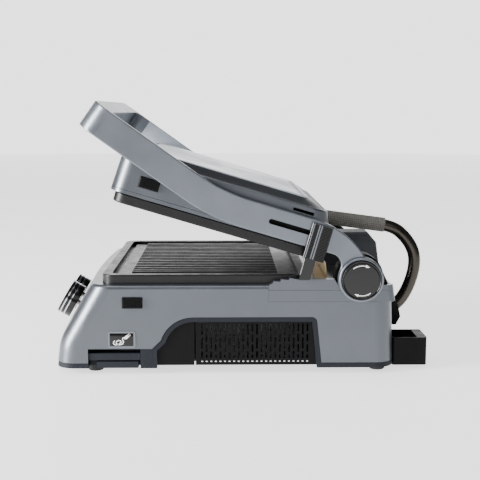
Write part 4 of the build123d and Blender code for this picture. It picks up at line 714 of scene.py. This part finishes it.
class PRESS_OT_lid_lines(bpy.types.Operator):
    """Two fine raised lines across the lid's cover, near its rear edge."""

    bl_idname = "press.lid_lines"
    bl_label = "Lid lines"

    def execute(self, context):
        back = LID_TURN.inverted()
        cover = [back @ v.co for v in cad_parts["lid_top_plate"].data.vertices]
        top = max(v.z for v in cover)
        rear = max(v.y for v in cover if v.z > top - 0.0002)
        half = max(v.x for v in cover if v.z > top - 0.0002)
        low, high = (-half, rear - 0.0042, top - 0.0002), (half, rear - 0.0036, top + 0.00012)
        line = block(low, high, round_mm=0.05)
        lines = row_of(line, "band", 2, (0, 0, 0), (0, -0.0026, 0))
        lines.transform(LID_TURN)
        pair = piece_of("cover_lines", lines, "band")
        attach(pair, "lid")
        return {"FINISHED"}


class PRESS_OT_button_dots(bpy.types.Operator):
    """Raised dots on the two release buttons."""

    bl_idname = "press.button_dots"
    bl_label = "Button dots"

    def execute(self, context):
        for word in ("lower", "upper"):
            back = LID_TURN.inverted() if word == "upper" else Matrix.Identity(4)
            cap = [back @ v.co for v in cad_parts[word + "_release_button"].data.vertices]
            out = max(v.x for v in cap) - 0.0004
            middle = [sum(sorted(v[i] for v in cap)[k] for k in (0, -1)) / 2 for i in (0, 1, 2)]
            shape = bmesh.new()
            bmesh.ops.create_cone(
                shape, cap_ends=True, segments=6, radius1=0.00062, radius2=0.00025, depth=0.0005,
            )
            bmesh.ops.rotate(shape, verts=shape.verts, matrix=Matrix.Rotation(math.radians(90), 3, "Y"))
            dot = bpy.data.meshes.new("dot")
            shape.to_mesh(dot)
            shape.free()
            column = row_of(dot, "black", 6, (0, 0, 0), (0, 0, 0.0015))
            start = (out + 0.00020, middle[1] - 0.00825, middle[2] - 0.00375)
            dots = row_of(column, "black", 12, start, (0, 0.0015, 0))
            if word == "upper":
                dots.transform(LID_TURN)
            piece = piece_of(word + "_button_dots", dots, "black")
            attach(piece, word + "_release")
        return {"FINISHED"}


class PRESS_OT_stage(bpy.types.Operator):
    """Floor, soft lights and camera."""

    bl_idname = "press.stage"
    bl_label = "Stage"

    def execute(self, context):
        scene = context.scene
        mesh = bpy.data.meshes.new("floor")
        shape = bmesh.new()
        bmesh.ops.create_circle(shape, cap_ends=True, segments=96, radius=5.6)
        shape.to_mesh(mesh)
        shape.free()
        mesh.materials.append(finishes["floor"])
        floor = bpy.data.objects.new("floor", mesh)
        scene.collection.objects.link(floor)
        world = bpy.data.worlds.new("soft_room")
        world.use_nodes = True
        room = world.node_tree
        seen = add(room, "ShaderNodeLightPath").outputs["Is Camera Ray"]
        strength = add(room, "ShaderNodeMapRange", {0: seen, 3: 0.20, 4: 2.6}).outputs[0]
        room.nodes["Background"].inputs[0].default_value = linear("#fdfdff")
        room.links.new(strength, room.nodes["Background"].inputs[1])
        scene.world = world
        lights = (
            ("over", (0.3, -0.2, 2.0), (0, 0, 0.1), 1.6, 1.2, 24.0),
            ("behind", (-6.0, 0.4, 1.5), (0, 0.0, 0.2), 9.0, 2.2, 170.0),
            ("front", (0.9, -2.2, 0.6), (0.1, -0.1, 0.1), 0.7, 1.6, 230.0),
            ("side", (2.6, 0.6, 1.5), (0, 0.0, 0.1), 1.6, 1.2, 8.0),
        )
        for name, at, to, wide, tall, watts in lights:
            data = bpy.data.lights.new(name, "AREA")
            data.shape = "RECTANGLE"
            data.size, data.size_y, data.energy = wide, tall, watts
            lamp = bpy.data.objects.new(name, data)
            lamp.location = at
            lamp.rotation_euler = (Vector(to) - Vector(at)).to_track_quat("-Z", "Y").to_euler()
            lamp.visible_camera = False
            scene.collection.objects.link(lamp)
        data = bpy.data.cameras.new("camera")
        data.sensor_width = 36.0
        data.lens = scene.press_sizes.camera_lens
        camera = bpy.data.objects.new("camera", data)
        camera.location = (1.224, -0.0143, 0.2925)
        down, aside = math.radians(7.52), math.radians(0.905)
        ahead = Vector((-math.cos(down) * math.cos(aside), math.cos(down) * math.sin(aside), -math.sin(down)))
        camera.rotation_euler = ahead.to_track_quat("-Z", "Y").to_euler()
        scene.collection.objects.link(camera)
        scene.camera = camera
        return {"FINISHED"}


class PRESS_PT_sidebar(bpy.types.Panel):
    """Lists the press's operators and what they read."""

    bl_label = "Panini press"
    bl_idname = "PRESS_PT_sidebar"
    bl_space_type = "VIEW_3D"
    bl_region_type = "UI"
    bl_category = "Press"

    def draw(self, context):
        for group in (context.scene.press_sizes, context.scene.press_colours):
            for name in group.bl_rna.properties.keys():
                if name not in ("rna_type", "name"):
                    self.layout.prop(group, name)
        for operator in OPERATORS:
            self.layout.operator(operator.bl_idname)


OPERATORS = (
    PRESS_OT_finishes, PRESS_OT_conduit, PRESS_OT_hub_buttons, PRESS_OT_dials, PRESS_OT_cord_mark,
    PRESS_OT_slider_grip, PRESS_OT_lid_lines, PRESS_OT_button_dots, PRESS_OT_stage,
)
CLASSES = (PressSizes, PressColours) + OPERATORS + (PRESS_PT_sidebar,)


def register():
    for kind in CLASSES:
        bpy.utils.register_class(kind)
    bpy.types.Scene.press_sizes = PointerProperty(type=PressSizes)
    bpy.types.Scene.press_colours = PointerProperty(type=PressColours)


def unregister():
    del bpy.types.Scene.press_colours
    del bpy.types.Scene.press_sizes
    for kind in reversed(CLASSES):
        bpy.utils.unregister_class(kind)


def main():
    register()
    for operator in OPERATORS:
        getattr(bpy.ops.press, operator.bl_idname.split(".")[1])()


if __name__ == "__main__":
    main()
